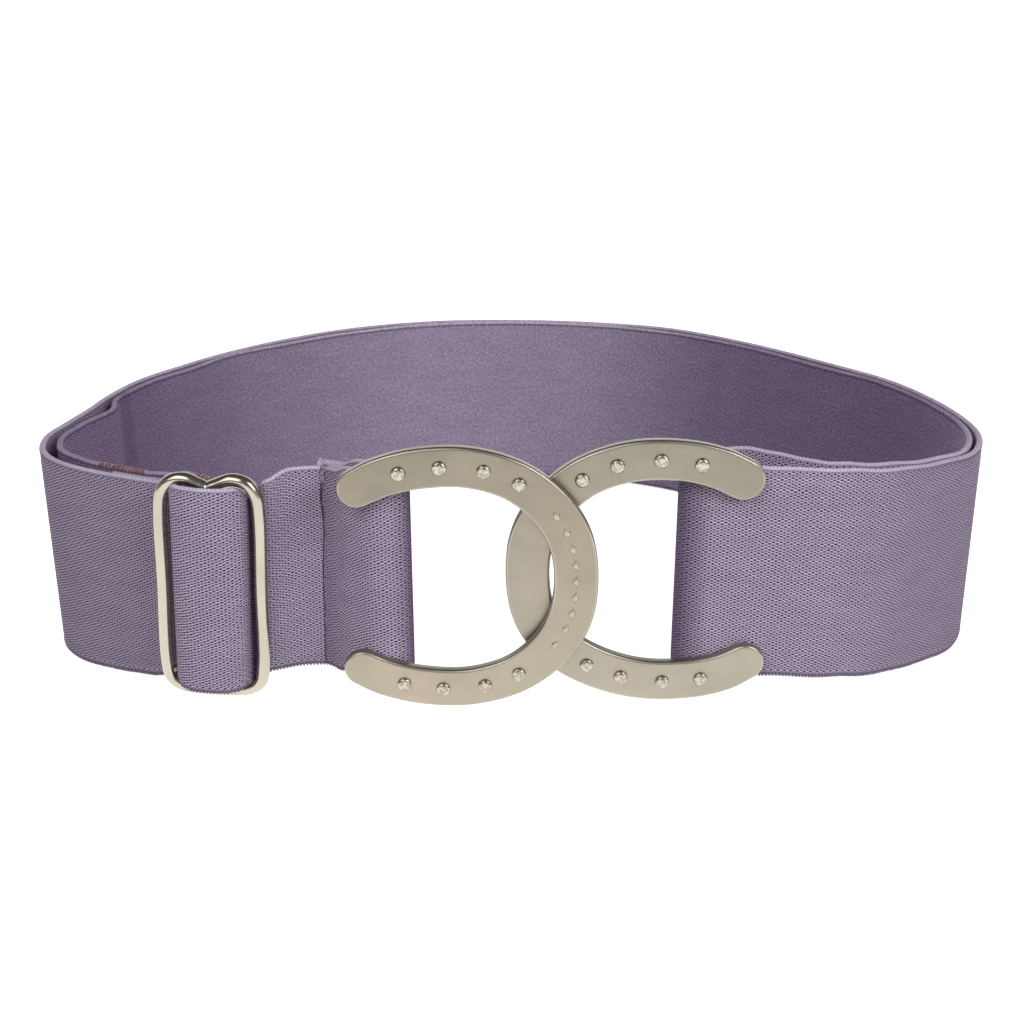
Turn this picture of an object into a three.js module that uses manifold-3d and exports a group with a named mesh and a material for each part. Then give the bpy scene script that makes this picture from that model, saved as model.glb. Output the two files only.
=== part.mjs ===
// An elastic belt standing on its edge: one long strap that runs twice round the loop,
// two interlocked horseshoe plates as the buckle, and a wire slider that sets the length.
// Millimetres, +Z up. X runs along the front of the belt, -Y is the front.

import * as THREE from "three";
import { mergeVertices } from "three/addons/utils/BufferGeometryUtils.js";
import Module from "manifold-3d";

// Driving sizes.
const STRAP_WIDTH = 50;
const STRAP_THICK = 1.5;
const EDGE_CHAMFER = 0.35;
const LAYER_GAP = 0.3;

const PLATE_THICK = 2.5;
const PLATE_BEVEL = 0.4;
const PLATE_HALF_HEIGHT = 30.3;
const PLATE_CLEARANCE = 0.3;
const LEFT_PLATE_FRONT = -75.1;
const RIGHT_PLATE_FRONT = LEFT_PLATE_FRONT + PLATE_THICK + PLATE_CLEARANCE;

const BAR_RADIUS = 1.5;
const WRAP_RADIUS = BAR_RADIUS + LAYER_GAP + STRAP_THICK / 2;

// Half of the horseshoe's middle line, from the toe to a tip.
// along: distance from the toe's outer edge; off: height above the middle; width: of the metal.
const SHOE_HALF = [
  { along: 4.75, off: 0.0, width: 9.5 },
  { along: 6.0, off: 9.0, width: 9.6 },
  { along: 10.0, off: 16.1, width: 9.4 },
  { along: 17.4, off: 22.4, width: 9.0 },
  { along: 27.6, off: 25.6, width: 8.9 },
  { along: 38.6, off: 25.3, width: 8.9 },
  { along: 46.5, off: 23.2, width: 8.7 },
  { along: 51.0, off: 21.0, width: 8.4 },
];

// The right horseshoe has a fuller upper tip, and its lower branch stands more open.
const FULL_HALF = [
  ...SHOE_HALF.slice(0, -2),
  { along: 46.5, off: 23.05, width: 9.1 },
  { along: 51.0, off: 20.65, width: 9.1 },
];
const OPEN_HALF = [
  { along: 4.75, off: 0.0, width: 9.5 },
  { along: 6.0, off: 9.0, width: 9.6 },
  { along: 10.2, off: 16.1, width: 9.6 },
  { along: 17.4, off: 21.6, width: 9.6 },
  { along: 27.6, off: 25.45, width: 9.5 },
  { along: 38.8, off: 26.15, width: 9.4 },
  { along: 47.0, off: 24.7, width: 9.1 },
  { along: 51.9, off: 22.35, width: 8.6 },
];

// How a plate stands in its own plane: turned about a place on its middle line that far
// from the toe, and raised.
const STRAIGHT = { turn: 0, raise: 0, about: 0 };
const ASKEW = { turn: THREE.MathUtils.degToRad(2.3), raise: 0.25, about: 24.25 };

// Each horseshoe: where the outer edge of its toe stands, which way its branches point,
// and where its hidden strap bar stands.
const LEFT_SHOE = {
  toeX: 18.4,
  reach: -1,
  front: LEFT_PLATE_FRONT,
  barX: -25,
  upper: SHOE_HALF,
  lower: SHOE_HALF,
  stance: STRAIGHT,
};
const RIGHT_SHOE = {
  toeX: -1.5,
  reach: 1,
  front: RIGHT_PLATE_FRONT,
  barX: 38.8,
  upper: FULL_HALF,
  lower: OPEN_HALF,
  stance: ASKEW,
};

// Nail heads, on the middle line of every branch.
const NAIL_ALONG = [17.0, 24.4, 33.6, 42.1];
const NAIL_RADIUS = 1.6;
const NAIL_TOP_RADIUS = 1.25;
const NAIL_HEIGHT = 0.9;

// A row of plain raised lozenges on the toe of the left horseshoe.
const LOZENGE_OFFS = [-15, -11.25, -7.5, -3.75, 0, 3.75, 7.5, 11.25, 15];
const LOZENGE_LONG = 1.3;
const LOZENGE_SHORT = 0.8;
const LOZENGE_HEIGHT = 0.35;
const LOZENGE_TAPER = 0.55;

// Lugs carry each bar behind the branches, just clear of the strap's two edges.
const LUG_INNER = 25.25;
const LUG_THICK = 2.1;
const LUG_WIDE = 4;
const WELD = 0.2;

// Two hooks behind the left toe catch the inner edge of the right toe.
const HOOK_OFFS = [-9.5, 9.5];
const HOOK_TALL = 3;
const HOOK_STEM = { from: 11.7, to: 14.5 };
const HOOK_LIP_X = 5.5;
const HOOK_LIP_THICK = 1.6;

// Slider: a rounded wire frame with a dip at the top and a bar down its middle.
const WIRE_RADIUS = 1.5;
const SLIDER = { x: -65.55, y: -69.6, z: 26.85, yaw: THREE.MathUtils.degToRad(5) };
const SLIDER_ROLL = THREE.MathUtils.degToRad(2.2);
const RIGHT_HALF = [
  { along: 0.0, up: 22.9 },
  { along: 1.5, up: 23.5 },
  { along: 5.4, up: 25.0 },
  { along: 8.7, up: 24.2 },
  { along: 10.4, up: 21.6 },
  { along: 10.95, up: 17.5 },
  { along: 10.95, up: 0.0 },
  { along: 10.95, up: -19.0 },
  { along: 10.0, up: -23.0 },
  { along: 7.0, up: -24.75 },
  { along: 3.0, up: -25.1 },
];
const LEFT_HALF = [
  { along: -3.0, up: -25.1 },
  { along: -7.0, up: -24.9 },
  { along: -9.8, up: -23.0 },
  { along: -10.7, up: -19.0 },
  { along: -10.6, up: 0.0 },
  { along: -10.5, up: 17.5 },
  { along: -9.9, up: 21.3 },
  { along: -8.1, up: 23.8 },
  { along: -4.9, up: 24.6 },
  { along: -1.5, up: 23.4 },
];

// The buckle end of the strap. The hem is turned in and lies between the back layer and
// the front layer; the three are sewn together at the seam, where the hem folds round.
const SEWN = { lift: 3.9, width: 48.2, slant: 1.0 };
const HEM_AND_BACK = [
  { x: -36.3, y: -63.2, ...SEWN },
  { x: -38.5, y: -61.7, ...SEWN },
  { x: -41.5, y: -60.6, ...SEWN },
  { x: -42.2, y: -60.3, ...SEWN },
  { x: -42.5, y: -59.6, ...SEWN },
  { x: -42.2, y: -58.9, ...SEWN },
  { x: -41.5, y: -58.6, ...SEWN },
  { x: -37.5, y: -60.1, ...SEWN },
  { x: -33.5, y: -63.3, lift: 4.8, width: 49.2, slant: 0.8 },
  { x: -30.0, y: -65.8, lift: 5.2, width: 49.6, slant: 0.3 },
];
const FRONT_TO_SEAM = [
  { x: -30.0, y: -71.3, lift: 5.2, width: 49.6, slant: 0.3 },
  { x: -35.2, y: -67.1, lift: 4.7, width: 49.0, slant: 0.8 },
  { x: -38.3, y: -64.2, lift: 3.4, width: 48.7, slant: 1.0 },
  { x: -41.5, y: -62.5, ...SEWN },
  { x: -48.6, y: -64.2, lift: 4.4, width: 47.9, slant: 1.4 },
];

// The loop that the outer layer follows, from left of the slider round the back to the
// right of the buckle. gap: clear space to the layer inside it; lift: lower edge above the
// floor; width: height of the strap there.
const LOOP = [
  { x: -82.5, y: -62.2, gap: 2.6, lift: 1.2, width: 48.3, slant: 1.0 },
  { x: -92.0, y: -57.6, gap: 2.7, lift: 0.2, width: 49.2 },
  { x: -100.3, y: -53.2, gap: 3.0, lift: 0, width: 49.8 },
  { x: -106.6, y: -46.0, gap: 2.4, lift: 0, width: 50 },
  { x: -109.0, y: -35.5, gap: 2.2, lift: 0, width: 50 },
  { x: -107.2, y: -25.4, gap: 2.4, lift: 0, width: 50 },
  { x: -104.8, y: -14.4, gap: 4.0, lift: 0, width: 50 },
  { x: -103.1, y: -4.0, gap: 1.2, lift: 0, width: 50 },
  { x: -98.6, y: 10.6, gap: 1.6, lift: 0, width: 50 },
  { x: -91.0, y: 23.3, gap: 2.2, lift: 0, width: 50 },
  { x: -81.0, y: 37.4, gap: 0.7, lift: 0, width: 50 },
  { x: -66.0, y: 52.7, gap: 2.4, lift: 0, width: 50 },
  { x: -48.6, y: 65.0, gap: 2.4, lift: 0, width: 50 },
  { x: -25.1, y: 73.5, gap: 1.4, lift: 0, width: 50 },
  { x: 0.0, y: 75.2, gap: 0.5, lift: 0, width: 50 },
  { x: 24.0, y: 72.5, gap: 1.0, lift: 0, width: 50 },
  { x: 47.5, y: 65.0, gap: 2.5, lift: 0, width: 50 },
  { x: 68.7, y: 47.8, gap: 1.8, lift: 0, width: 50 },
  { x: 87.4, y: 26.4, gap: 2.4, lift: 0, width: 50 },
  { x: 99.4, y: 10.5, gap: 1.3, lift: 0, width: 50 },
  { x: 106.1, y: -5.5, gap: 0.9, lift: 0, width: 50 },
  { x: 110.0, y: -23.0, gap: 0.6, lift: 0, width: 50, slant: -0.5 },
  { x: 109.35, y: -36.5, gap: 0.8, lift: 0, width: 50, slant: -0.5 },
  { x: 103.8, y: -47.6, gap: 0.7, lift: 0, width: 50 },
  { x: 94.0, y: -55.4, gap: 1.2, lift: 0.5, width: 50 },
  { x: 82.0, y: -63.4, gap: 2.4, lift: 1.9, width: 50 },
  { x: 70.0, y: -67.3, gap: 3.0, lift: 3.3, width: 49.9 },
];

// The outer layer's last rows before the right bar, and the inner layer's first after it.
const OUTER_TO_BAR = [
  { x: 57, y: -68.6, lift: 4.4, width: 49.7 },
  { x: 47, y: -68.65, lift: 5.1, width: 49.7 },
];
const INNER_FROM_BAR = [
  { x: 44.5, y: -59.6, lift: 5.3, width: 49.7 },
  { x: 50.5, y: -57.0, lift: 5.0, width: 49.7 },
  { x: 57.0, y: -58.7, lift: 4.4, width: 49.7 },
  { x: 63.5, y: -61.6, lift: 3.8, width: 49.8 },
];
const BAR_LIFT = 5.3;
const BAR_STRAP_WIDTH = 49.7;

// How the strap weaves through the slider. side: along the frame from its middle;
// back: behind the frame's plane.
const PANEL_HALF = [
  { side: 0, back: -4.9, lift: 3.0, width: 48.4 },
  { side: 3.8, back: -4.45, lift: 3.0, width: 48.4 },
  { side: 6.7, back: -2.9, lift: 3.4, width: 47.8 },
  { side: 7.8, back: -0.5, lift: 5.6, width: 42.7 },
  { side: 8.75, back: 2.65, lift: 5.4, width: 43.2 },
];
const LEFT_SHARE = 0.97;
const RIGHT_OF_SLIDER = { side: 11.2, back: 3.4, lift: 5.1, width: 45.8 };
const LEFT_OF_SLIDER = { side: -11.6, back: 4.3, lift: 1.7, width: 47.2 };
const BAR_LOOP = { lift: 4.2, width: 44.8 };
const SLIDER_SLANT = STRAP_WIDTH * Math.tan(SLIDER_ROLL);
const TAIL_INSET = 2.05;
const TAIL_END_X = -91;

// Steps along the strap: long round the loop, short where it folds.
const LOOP_STEP = 4;
const FOLD_STEP = 1.6;
const COLOURS = { elastic: 0x7d6b8c, nickel: 0xb4ae9e, wire: 0xc4c0b4 };

const wasm = await Module();
wasm.setup();

function toManifold(geometry) {
  const plain = geometry.clone();
  plain.deleteAttribute("normal");
  plain.deleteAttribute("uv");
  const merged = mergeVertices(plain, 1e-3);
  return new wasm.Manifold(new wasm.Mesh({
    numProp: 3,
    vertProperties: new Float32Array(merged.attributes.position.array),
    triVerts: new Uint32Array(merged.index.array),
  }));
}

function fromManifold(solid) {
  const mesh = solid.getMesh();
  const geometry = new THREE.BufferGeometry();
  geometry.setAttribute("position", new THREE.BufferAttribute(mesh.vertProperties, 3));
  geometry.setIndex(new THREE.BufferAttribute(mesh.triVerts, 1));
  geometry.computeVertexNormals();
  return geometry;
}

function joined(geometries) {
  const solids = geometries.map(toManifold);
  return fromManifold(solids.reduce((whole, solid) => whole.add(solid)));
}

// Skin rings of equal length into a closed tube; closed rings need no end caps.
function skin(rings, closed = false) {
  const count = rings[0].length;
  const positions = rings.flat().flatMap((p) => [p.x, p.y, p.z]);
  const index = [];
  const spans = closed ? rings.length : rings.length - 1;
  for (let i = 0; i < spans; i += 1) {
    const next = (i + 1) % rings.length;
    for (let j = 0; j < count; j += 1) {
      const a = i * count + j;
      const b = i * count + (j + 1) % count;
      const c = next * count + (j + 1) % count;
      const d = next * count + j;
      index.push(a, b, c, a, c, d);
    }
  }
  if (!closed) {
    const last = (rings.length - 1) * count;
    for (let j = 1; j < count - 1; j += 1) {
      index.push(0, j + 1, j);
      index.push(last, last + j, last + j + 1);
    }
  }
  const geometry = new THREE.BufferGeometry();
  geometry.setAttribute("position", new THREE.Float32BufferAttribute(positions, 3));
  geometry.setIndex(index);
  return outward(geometry);
}

// Turn every triangle round when the signed volume comes out negative.
function outward(geometry) {
  const p = geometry.attributes.position;
  const index = geometry.index.array;
  const [a, b, c] = [new THREE.Vector3(), new THREE.Vector3(), new THREE.Vector3()];
  let volume = 0;
  for (let i = 0; i < index.length; i += 3) {
    a.fromBufferAttribute(p, index[i]);
    b.fromBufferAttribute(p, index[i + 1]);
    c.fromBufferAttribute(p, index[i + 2]);
    volume += a.dot(b.cross(c));
  }
  if (volume < 0) {
    for (let i = 0; i < index.length; i += 3) {
      [index[i + 1], index[i + 2]] = [index[i + 2], index[i + 1]];
    }
  }
  geometry.computeVertexNormals();
  return geometry;
}

function lerp(a, b, t) {
  return a + (b - a) * t;
}

// A smooth course through the rows, each span cut into short steps.
// Every other column is blended along with the place.
function smoothCourse(rows) {
  const points = rows.map((row) => new THREE.Vector3(row.x, row.y, 0));
  const curve = new THREE.CatmullRomCurve3(points, false, "centripetal");
  const samples = [];
  for (let i = 0; i < rows.length - 1; i += 1) {
    const step = Math.min(rows[i].step ?? FOLD_STEP, rows[i + 1].step ?? FOLD_STEP);
    const cuts = Math.max(1, Math.round(points[i].distanceTo(points[i + 1]) / step));
    for (let k = 0; k < cuts; k += 1) {
      samples.push(blendedSample(rows, curve, i, k / cuts));
    }
  }
  samples.push(blendedSample(rows, curve, rows.length - 2, 1));
  return samples;
}

function blendedSample(rows, curve, i, t) {
  const place = curve.getPoint((i + t) / (rows.length - 1));
  const from = rows[i];
  const to = rows[i + 1];
  const ease = t * t * (3 - 2 * t);
  return {
    x: place.x,
    y: place.y,
    gap: lerp(from.gap ?? 0, to.gap ?? 0, ease),
    lift: lerp(from.lift, to.lift, ease),
    width: lerp(from.width, to.width, ease),
    slant: lerp(from.slant ?? 0, to.slant ?? 0, ease),
    step: from.step ?? FOLD_STEP,
  };
}

function headingAt(samples, i) {
  const before = samples[Math.max(0, i - 1)];
  const after = samples[Math.min(samples.length - 1, i + 1)];
  return new THREE.Vector2(after.x - before.x, after.y - before.y).normalize();
}

// The loop's samples moved to the inside by inset(sample).
function insetCourse(samples, inset) {
  return samples.map((sample, i) => {
    const heading = headingAt(samples, i);
    const depth = inset(sample);
    return { ...sample, x: sample.x + heading.y * depth, y: sample.y - heading.x * depth };
  });
}

// Rows round an upright bar, from one angle to another.
function wrapRows(centre, from, to, shared) {
  const turns = 8;
  const rows = [];
  for (let i = 0; i <= turns; i += 1) {
    const angle = lerp(from, to, i / turns);
    rows.push({
      x: centre.x + WRAP_RADIUS * Math.cos(angle),
      y: centre.y + WRAP_RADIUS * Math.sin(angle),
      ...shared,
    });
  }
  return rows;
}

// A place given along the slider's frame and behind its plane. The strap leans with it.
function sliderRow({ side, back, lift, width }) {
  const { x, y, yaw } = SLIDER;
  return {
    x: x + side * Math.cos(yaw) + back * Math.sin(yaw),
    y: y - side * Math.sin(yaw) + back * Math.cos(yaw),
    lift: lift - side * Math.sin(SLIDER_ROLL),
    width,
    slant: SLIDER_SLANT,
  };
}

// The buckle end: a turned hem, the back layer, round the left bar, the front layer.
function leftEndRows() {
  const nearBar = { lift: BAR_LIFT, width: BAR_STRAP_WIDTH, slant: 0 };
  const wrap = wrapRows(leftBarCentre(), Math.PI / 2, -Math.PI / 2, nearBar);
  return [...HEM_AND_BACK, ...wrap, ...FRONT_TO_SEAM];
}

// The outer layer goes behind the right wire and into the window beside the middle bar.
function rightWindowRows() {
  return [RIGHT_OF_SLIDER, ...PANEL_HALF.slice(1).reverse()].map(sliderRow);
}

// Then over the middle bar and out through the other window, behind the left wire.
function leftWindowRows() {
  const half = PANEL_HALF.map((row) => ({ ...row, side: -LEFT_SHARE * row.side }));
  return [...half, LEFT_OF_SLIDER].map(sliderRow);
}

// The inner layer ends round the slider's middle bar. Its tail follows the outer layer,
// through the left window and on between the two layers.
function barLoopRows(outer) {
  const shared = { ...BAR_LOOP, slant: SLIDER_SLANT };
  const start = Math.PI / 2 - SLIDER.yaw;
  const wrap = wrapRows(SLIDER, start, start - Math.PI, shared);
  const beside = outer.filter((s) => s.x > TAIL_END_X && s.x < SLIDER.x - 2.5 && s.y < 0);
  const tail = insetCourse(beside, () => TAIL_INSET).map((s) => ({
    ...s,
    lift: Math.max(s.lift, BAR_LOOP.lift),
    width: Math.min(s.width, BAR_LOOP.width),
  }));
  return [
    sliderRow({ side: -6.1, back: 5.9, lift: 3.5, width: 46.2 }),
    sliderRow({ side: -3.1, back: 3.8, lift: 3.9, width: 45.4 }),
    ...wrap,
    ...tail,
  ];
}

function strapRows() {
  const loopRows = LOOP.map((row) => ({ ...row, step: LOOP_STEP }));
  const outer = smoothCourse([...leftWindowRows(), ...loopRows]);
  const loop = outer.filter((s) => s.x < SLIDER.x - 11 || s.x > 0 || s.y > 0);
  const inner = insetCourse(loop, (sample) => STRAP_THICK + innerGap(sample)).reverse();
  const nearBar = { lift: BAR_LIFT, width: BAR_STRAP_WIDTH, slant: 0 };
  return [
    ...leftEndRows(),
    ...rightWindowRows(),
    ...outer,
    ...OUTER_TO_BAR,
    ...wrapRows(rightBarCentre(), -Math.PI / 2, -1.5 * Math.PI, nearBar),
    ...INNER_FROM_BAR,
    ...inner,
    ...barLoopRows(outer),
  ];
}

// Beside the slider the gap has to hold the tail as well.
function innerGap(sample) {
  return sample.y < -50 && sample.x < 0 ? Math.max(sample.gap, 2.5) : sample.gap;
}

// The strap's section: flat faces and flat edges with a small chamfer between them.
function strapRing(sample, heading) {
  const half = STRAP_THICK / 2;
  const c = EDGE_CHAMFER;
  const w = sample.width;
  const section = [
    [-half, c], [-half, w - c], [-half + c, w], [half - c, w],
    [half, w - c], [half, c], [half - c, 0], [-half + c, 0],
  ];
  return section.map(([across, up]) => {
    const lean = (sample.slant ?? 0) * (up / w - 0.5);
    return new THREE.Vector3(
      sample.x + heading.y * across + lean,
      sample.y - heading.x * across,
      sample.lift + up,
    );
  });
}

function strapGeometry() {
  const samples = smoothCourse(strapRows());
  return skin(samples.map((sample, i) => strapRing(sample, headingAt(samples, i))));
}

function leftBarCentre() {
  const face = LEFT_SHOE.front + PLATE_THICK + LAYER_GAP;
  return { x: LEFT_SHOE.barX, y: face + STRAP_THICK / 2 + WRAP_RADIUS };
}

function rightBarCentre() {
  const face = RIGHT_SHOE.front + PLATE_THICK + LAYER_GAP + 0.1;
  return { x: RIGHT_SHOE.barX, y: face + STRAP_THICK / 2 + WRAP_RADIUS };
}

// The whole middle line of a horseshoe, tip to tip, as smooth stations.
function shoeStations(shoe) {
  const lower = shoe.lower.slice(1).reverse().map((row) => ({ ...row, off: -row.off }));
  const rows = [...lower, ...shoe.upper];
  const points = rows.map((row) => new THREE.Vector3(row.along, row.off, row.width));
  const curve = new THREE.CatmullRomCurve3(points, false, "centripetal");
  return curve.getSpacedPoints(44).map((p) => ({ along: p.x, off: p.y, width: p.z }));
}

// The flat outline: one side of the middle line, a round tip, the other side, a round tip.
function shoeOutline(shoe) {
  const stations = shoeStations(shoe);
  const last = stations.length - 1;
  const headings = stations.map((_, i) => {
    const a = stations[Math.max(0, i - 1)];
    const b = stations[Math.min(last, i + 1)];
    return Math.atan2(b.off - a.off, b.along - a.along);
  });
  const edge = (i, turn) => new THREE.Vector2(
    stations[i].along + stations[i].width / 2 * Math.cos(headings[i] + turn),
    stations[i].off + stations[i].width / 2 * Math.sin(headings[i] + turn),
  );
  const tip = (i, from) => [1, 2, 3, 4, 5, 6, 7].map((k) => edge(i, from - Math.PI * k / 8));
  return [
    ...stations.map((_, i) => edge(i, Math.PI / 2)),
    ...tip(last, Math.PI / 2),
    ...stations.map((_, i) => edge(last - i, -Math.PI / 2)),
    ...tip(0, -Math.PI / 2),
  ];
}

// Where a place on the flat plate stands: along runs from the toe, off runs up.
function onPlate(shoe, along, off) {
  const { turn, raise, about } = shoe.stance;
  const aside = shoe.reach * (along - about);
  return {
    x: shoe.toeX + shoe.reach * about + aside * Math.cos(turn) - off * Math.sin(turn),
    z: PLATE_HALF_HEIGHT + raise + aside * Math.sin(turn) + off * Math.cos(turn),
  };
}

function standUp(geometry, shoe) {
  const p = geometry.attributes.position;
  for (let i = 0; i < p.count; i += 1) {
    const { x, z } = onPlate(shoe, p.getX(i), p.getY(i));
    p.setXYZ(i, x, shoe.front + p.getZ(i), z);
  }
  const indexed = mergeVertices(stripped(geometry), 1e-3);
  return outward(indexed);
}

function stripped(geometry) {
  geometry.deleteAttribute("normal");
  geometry.deleteAttribute("uv");
  return geometry;
}

function shoePlate(shoe) {
  const outline = shoeOutline(shoe);
  const settings = {
    depth: PLATE_THICK - 2 * PLATE_BEVEL,
    bevelEnabled: true,
    bevelThickness: PLATE_BEVEL,
    bevelSize: PLATE_BEVEL,
    bevelOffset: -PLATE_BEVEL,
    bevelSegments: 1,
    curveSegments: 1,
  };
  const plate = new THREE.ExtrudeGeometry(new THREE.Shape(outline), settings);
  plate.translate(0, 0, PLATE_BEVEL);
  return standUp(plate, shoe);
}

// How far above or below the plate's middle a branch's middle line runs.
function heightOnBranch(shoe, along, side) {
  const branch = shoeStations(shoe).filter((s) => s.off * side > 0);
  if (side < 0) branch.reverse();
  const i = branch.findIndex((s, k) => along < branch[k + 1].along);
  const [a, b] = [branch[i], branch[i + 1]];
  return lerp(a.off, b.off, (along - a.along) / (b.along - a.along));
}

function nailHead(shoe, along, side) {
  const depth = NAIL_HEIGHT + WELD;
  const head = new THREE.CylinderGeometry(NAIL_RADIUS, NAIL_TOP_RADIUS, depth, 10);
  const { x, z } = onPlate(shoe, along, heightOnBranch(shoe, along, side));
  head.translate(x, shoe.front + WELD - depth / 2, z);
  return head;
}

function nailHeads(shoe) {
  return NAIL_ALONG.flatMap((along) => [nailHead(shoe, along, 1), nailHead(shoe, along, -1)]);
}

function block(x, y, z) {
  const box = new THREE.BoxGeometry(x.to - x.from, y.to - y.from, z.to - z.from);
  box.translate((x.from + x.to) / 2, (y.from + y.to) / 2, (z.from + z.to) / 2);
  return box;
}

// The upright strap bar and the two lugs that hold it behind the branches.
function barAndLugs(shoe, centre) {
  const length = 2 * (LUG_INNER + LUG_THICK / 2);
  const bar = new THREE.CylinderGeometry(BAR_RADIUS, BAR_RADIUS, length, 16);
  bar.rotateX(Math.PI / 2);
  bar.translate(centre.x, centre.y, PLATE_HALF_HEIGHT);
  const x = { from: centre.x - LUG_WIDE / 2, to: centre.x + LUG_WIDE / 2 };
  const y = { from: shoe.front + PLATE_THICK - WELD, to: centre.y + BAR_RADIUS + WELD };
  const top = PLATE_HALF_HEIGHT + LUG_INNER;
  const bottom = PLATE_HALF_HEIGHT - LUG_INNER;
  return [
    bar,
    block(x, y, { from: top, to: top + LUG_THICK }),
    block(x, y, { from: bottom - LUG_THICK, to: bottom }),
  ];
}

function hookParts(off) {
  const z = {
    from: PLATE_HALF_HEIGHT + off - HOOK_TALL / 2,
    to: PLATE_HALF_HEIGHT + off + HOOK_TALL / 2,
  };
  const back = LEFT_SHOE.front + PLATE_THICK;
  const lipFront = RIGHT_SHOE.front + PLATE_THICK + PLATE_CLEARANCE;
  const lipBack = lipFront + HOOK_LIP_THICK;
  return [
    block(HOOK_STEM, { from: back - WELD, to: lipBack }, z),
    block({ from: HOOK_LIP_X, to: HOOK_STEM.to }, { from: lipFront, to: lipBack }, z),
  ];
}

// The middle line where it passes a height on the toe, and how far it leans there.
function placeOnToe(shoe, off) {
  const stations = shoeStations(shoe);
  const i = stations.findIndex((s, k) => off < stations[k + 1].off);
  const [a, b] = [stations[i], stations[i + 1]];
  const along = lerp(a.along, b.along, (off - a.off) / (b.off - a.off));
  const lean = Math.atan2(shoe.reach * (b.along - a.along), b.off - a.off);
  return { x: shoe.toeX + shoe.reach * along, lean };
}

// A low four-sided pyramid stump, its long way along the toe.
function lozenge(off) {
  const { x, lean } = placeOnToe(LEFT_SHOE, off);
  const depth = LOZENGE_HEIGHT + WELD;
  const stump = new THREE.CylinderGeometry(1, LOZENGE_TAPER, depth, 4);
  stump.scale(LOZENGE_SHORT, 1, LOZENGE_LONG);
  stump.rotateY(lean);
  stump.translate(x, LEFT_SHOE.front + WELD - depth / 2, PLATE_HALF_HEIGHT + off);
  return stump;
}

function leftShoeGeometry() {
  return joined([
    shoePlate(LEFT_SHOE),
    ...nailHeads(LEFT_SHOE),
    ...barAndLugs(LEFT_SHOE, leftBarCentre()),
    ...HOOK_OFFS.flatMap(hookParts),
    ...LOZENGE_OFFS.map(lozenge),
  ]);
}

function rightShoeGeometry() {
  return joined([
    shoePlate(RIGHT_SHOE),
    ...nailHeads(RIGHT_SHOE),
    ...barAndLugs(RIGHT_SHOE, rightBarCentre()),
  ]);
}

// A round ring of wire at a place, square to a direction in the slider's plane.
function wireRing(place, angle) {
  const sides = 10;
  const ring = [];
  for (let j = 0; j < sides; j += 1) {
    const turn = 2 * Math.PI * j / sides;
    const out = WIRE_RADIUS * Math.cos(turn);
    ring.push(new THREE.Vector3(
      place.x - out * Math.sin(angle),
      WIRE_RADIUS * Math.sin(turn),
      place.y + out * Math.cos(angle),
    ));
  }
  return ring;
}

function sliderFrame() {
  const rows = [...RIGHT_HALF, ...LEFT_HALF].map((row) => new THREE.Vector3(row.along, row.up, 0));
  const curve = new THREE.CatmullRomCurve3(rows, true, "centripetal");
  const points = curve.getSpacedPoints(72).slice(0, -1);
  const rings = points.map((p, i) => {
    const a = points[(i + points.length - 1) % points.length];
    const b = points[(i + 1) % points.length];
    return wireRing(p, Math.atan2(b.y - a.y, b.x - a.x));
  });
  return skin(rings, true);
}

function sliderGeometry() {
  const top = RIGHT_HALF[0].up;
  const bottom = LEFT_HALF[0].up;
  const bar = new THREE.CylinderGeometry(WIRE_RADIUS, WIRE_RADIUS, top - bottom, 16);
  bar.rotateX(Math.PI / 2);
  bar.translate(0, 0, (top + bottom) / 2);
  const slider = joined([sliderFrame(), bar]);
  slider.rotateY(SLIDER_ROLL);
  slider.rotateZ(-SLIDER.yaw);
  slider.translate(SLIDER.x, SLIDER.y, SLIDER.z);
  return slider;
}

function material(name, colour, metalness, roughness) {
  return new THREE.MeshStandardMaterial({ name, color: colour, metalness, roughness });
}

function piece(name, geometry, look) {
  const mesh = new THREE.Mesh(geometry, look);
  mesh.name = name;
  return mesh;
}

// Shift every piece so that the belt stands on the floor with its middle over the origin.
function centreOnFloor(group) {
  const box = new THREE.Box3().setFromObject(group);
  const middle = box.getCenter(new THREE.Vector3());
  for (const mesh of group.children) {
    mesh.geometry.translate(-middle.x, -middle.y, -box.min.z);
  }
}

const belt = new THREE.Group();
belt.name = "elastic_belt";
belt.add(
  piece("strap", strapGeometry(), material("lilac_elastic", COLOURS.elastic, 0, 0.9)),
  piece("horseshoe_left", leftShoeGeometry(), material("satin_nickel_left", COLOURS.nickel, 1, 0.35)),
  piece("horseshoe_right", rightShoeGeometry(), material("satin_nickel_right", COLOURS.nickel, 1, 0.35)),
  piece("slider", sliderGeometry(), material("polished_wire", COLOURS.wire, 1, 0.2)),
);
centreOnFloor(belt);

export default belt;
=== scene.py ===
"""The looks of an elastic waist belt that stands on its edge with its loop open.

Lilac elastic webbing, two interlocked horseshoe plates of satin nickel and a slider of
polished wire. Tables and sizes are in millimetres; meshes are made in metres.
"""

import math

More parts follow.
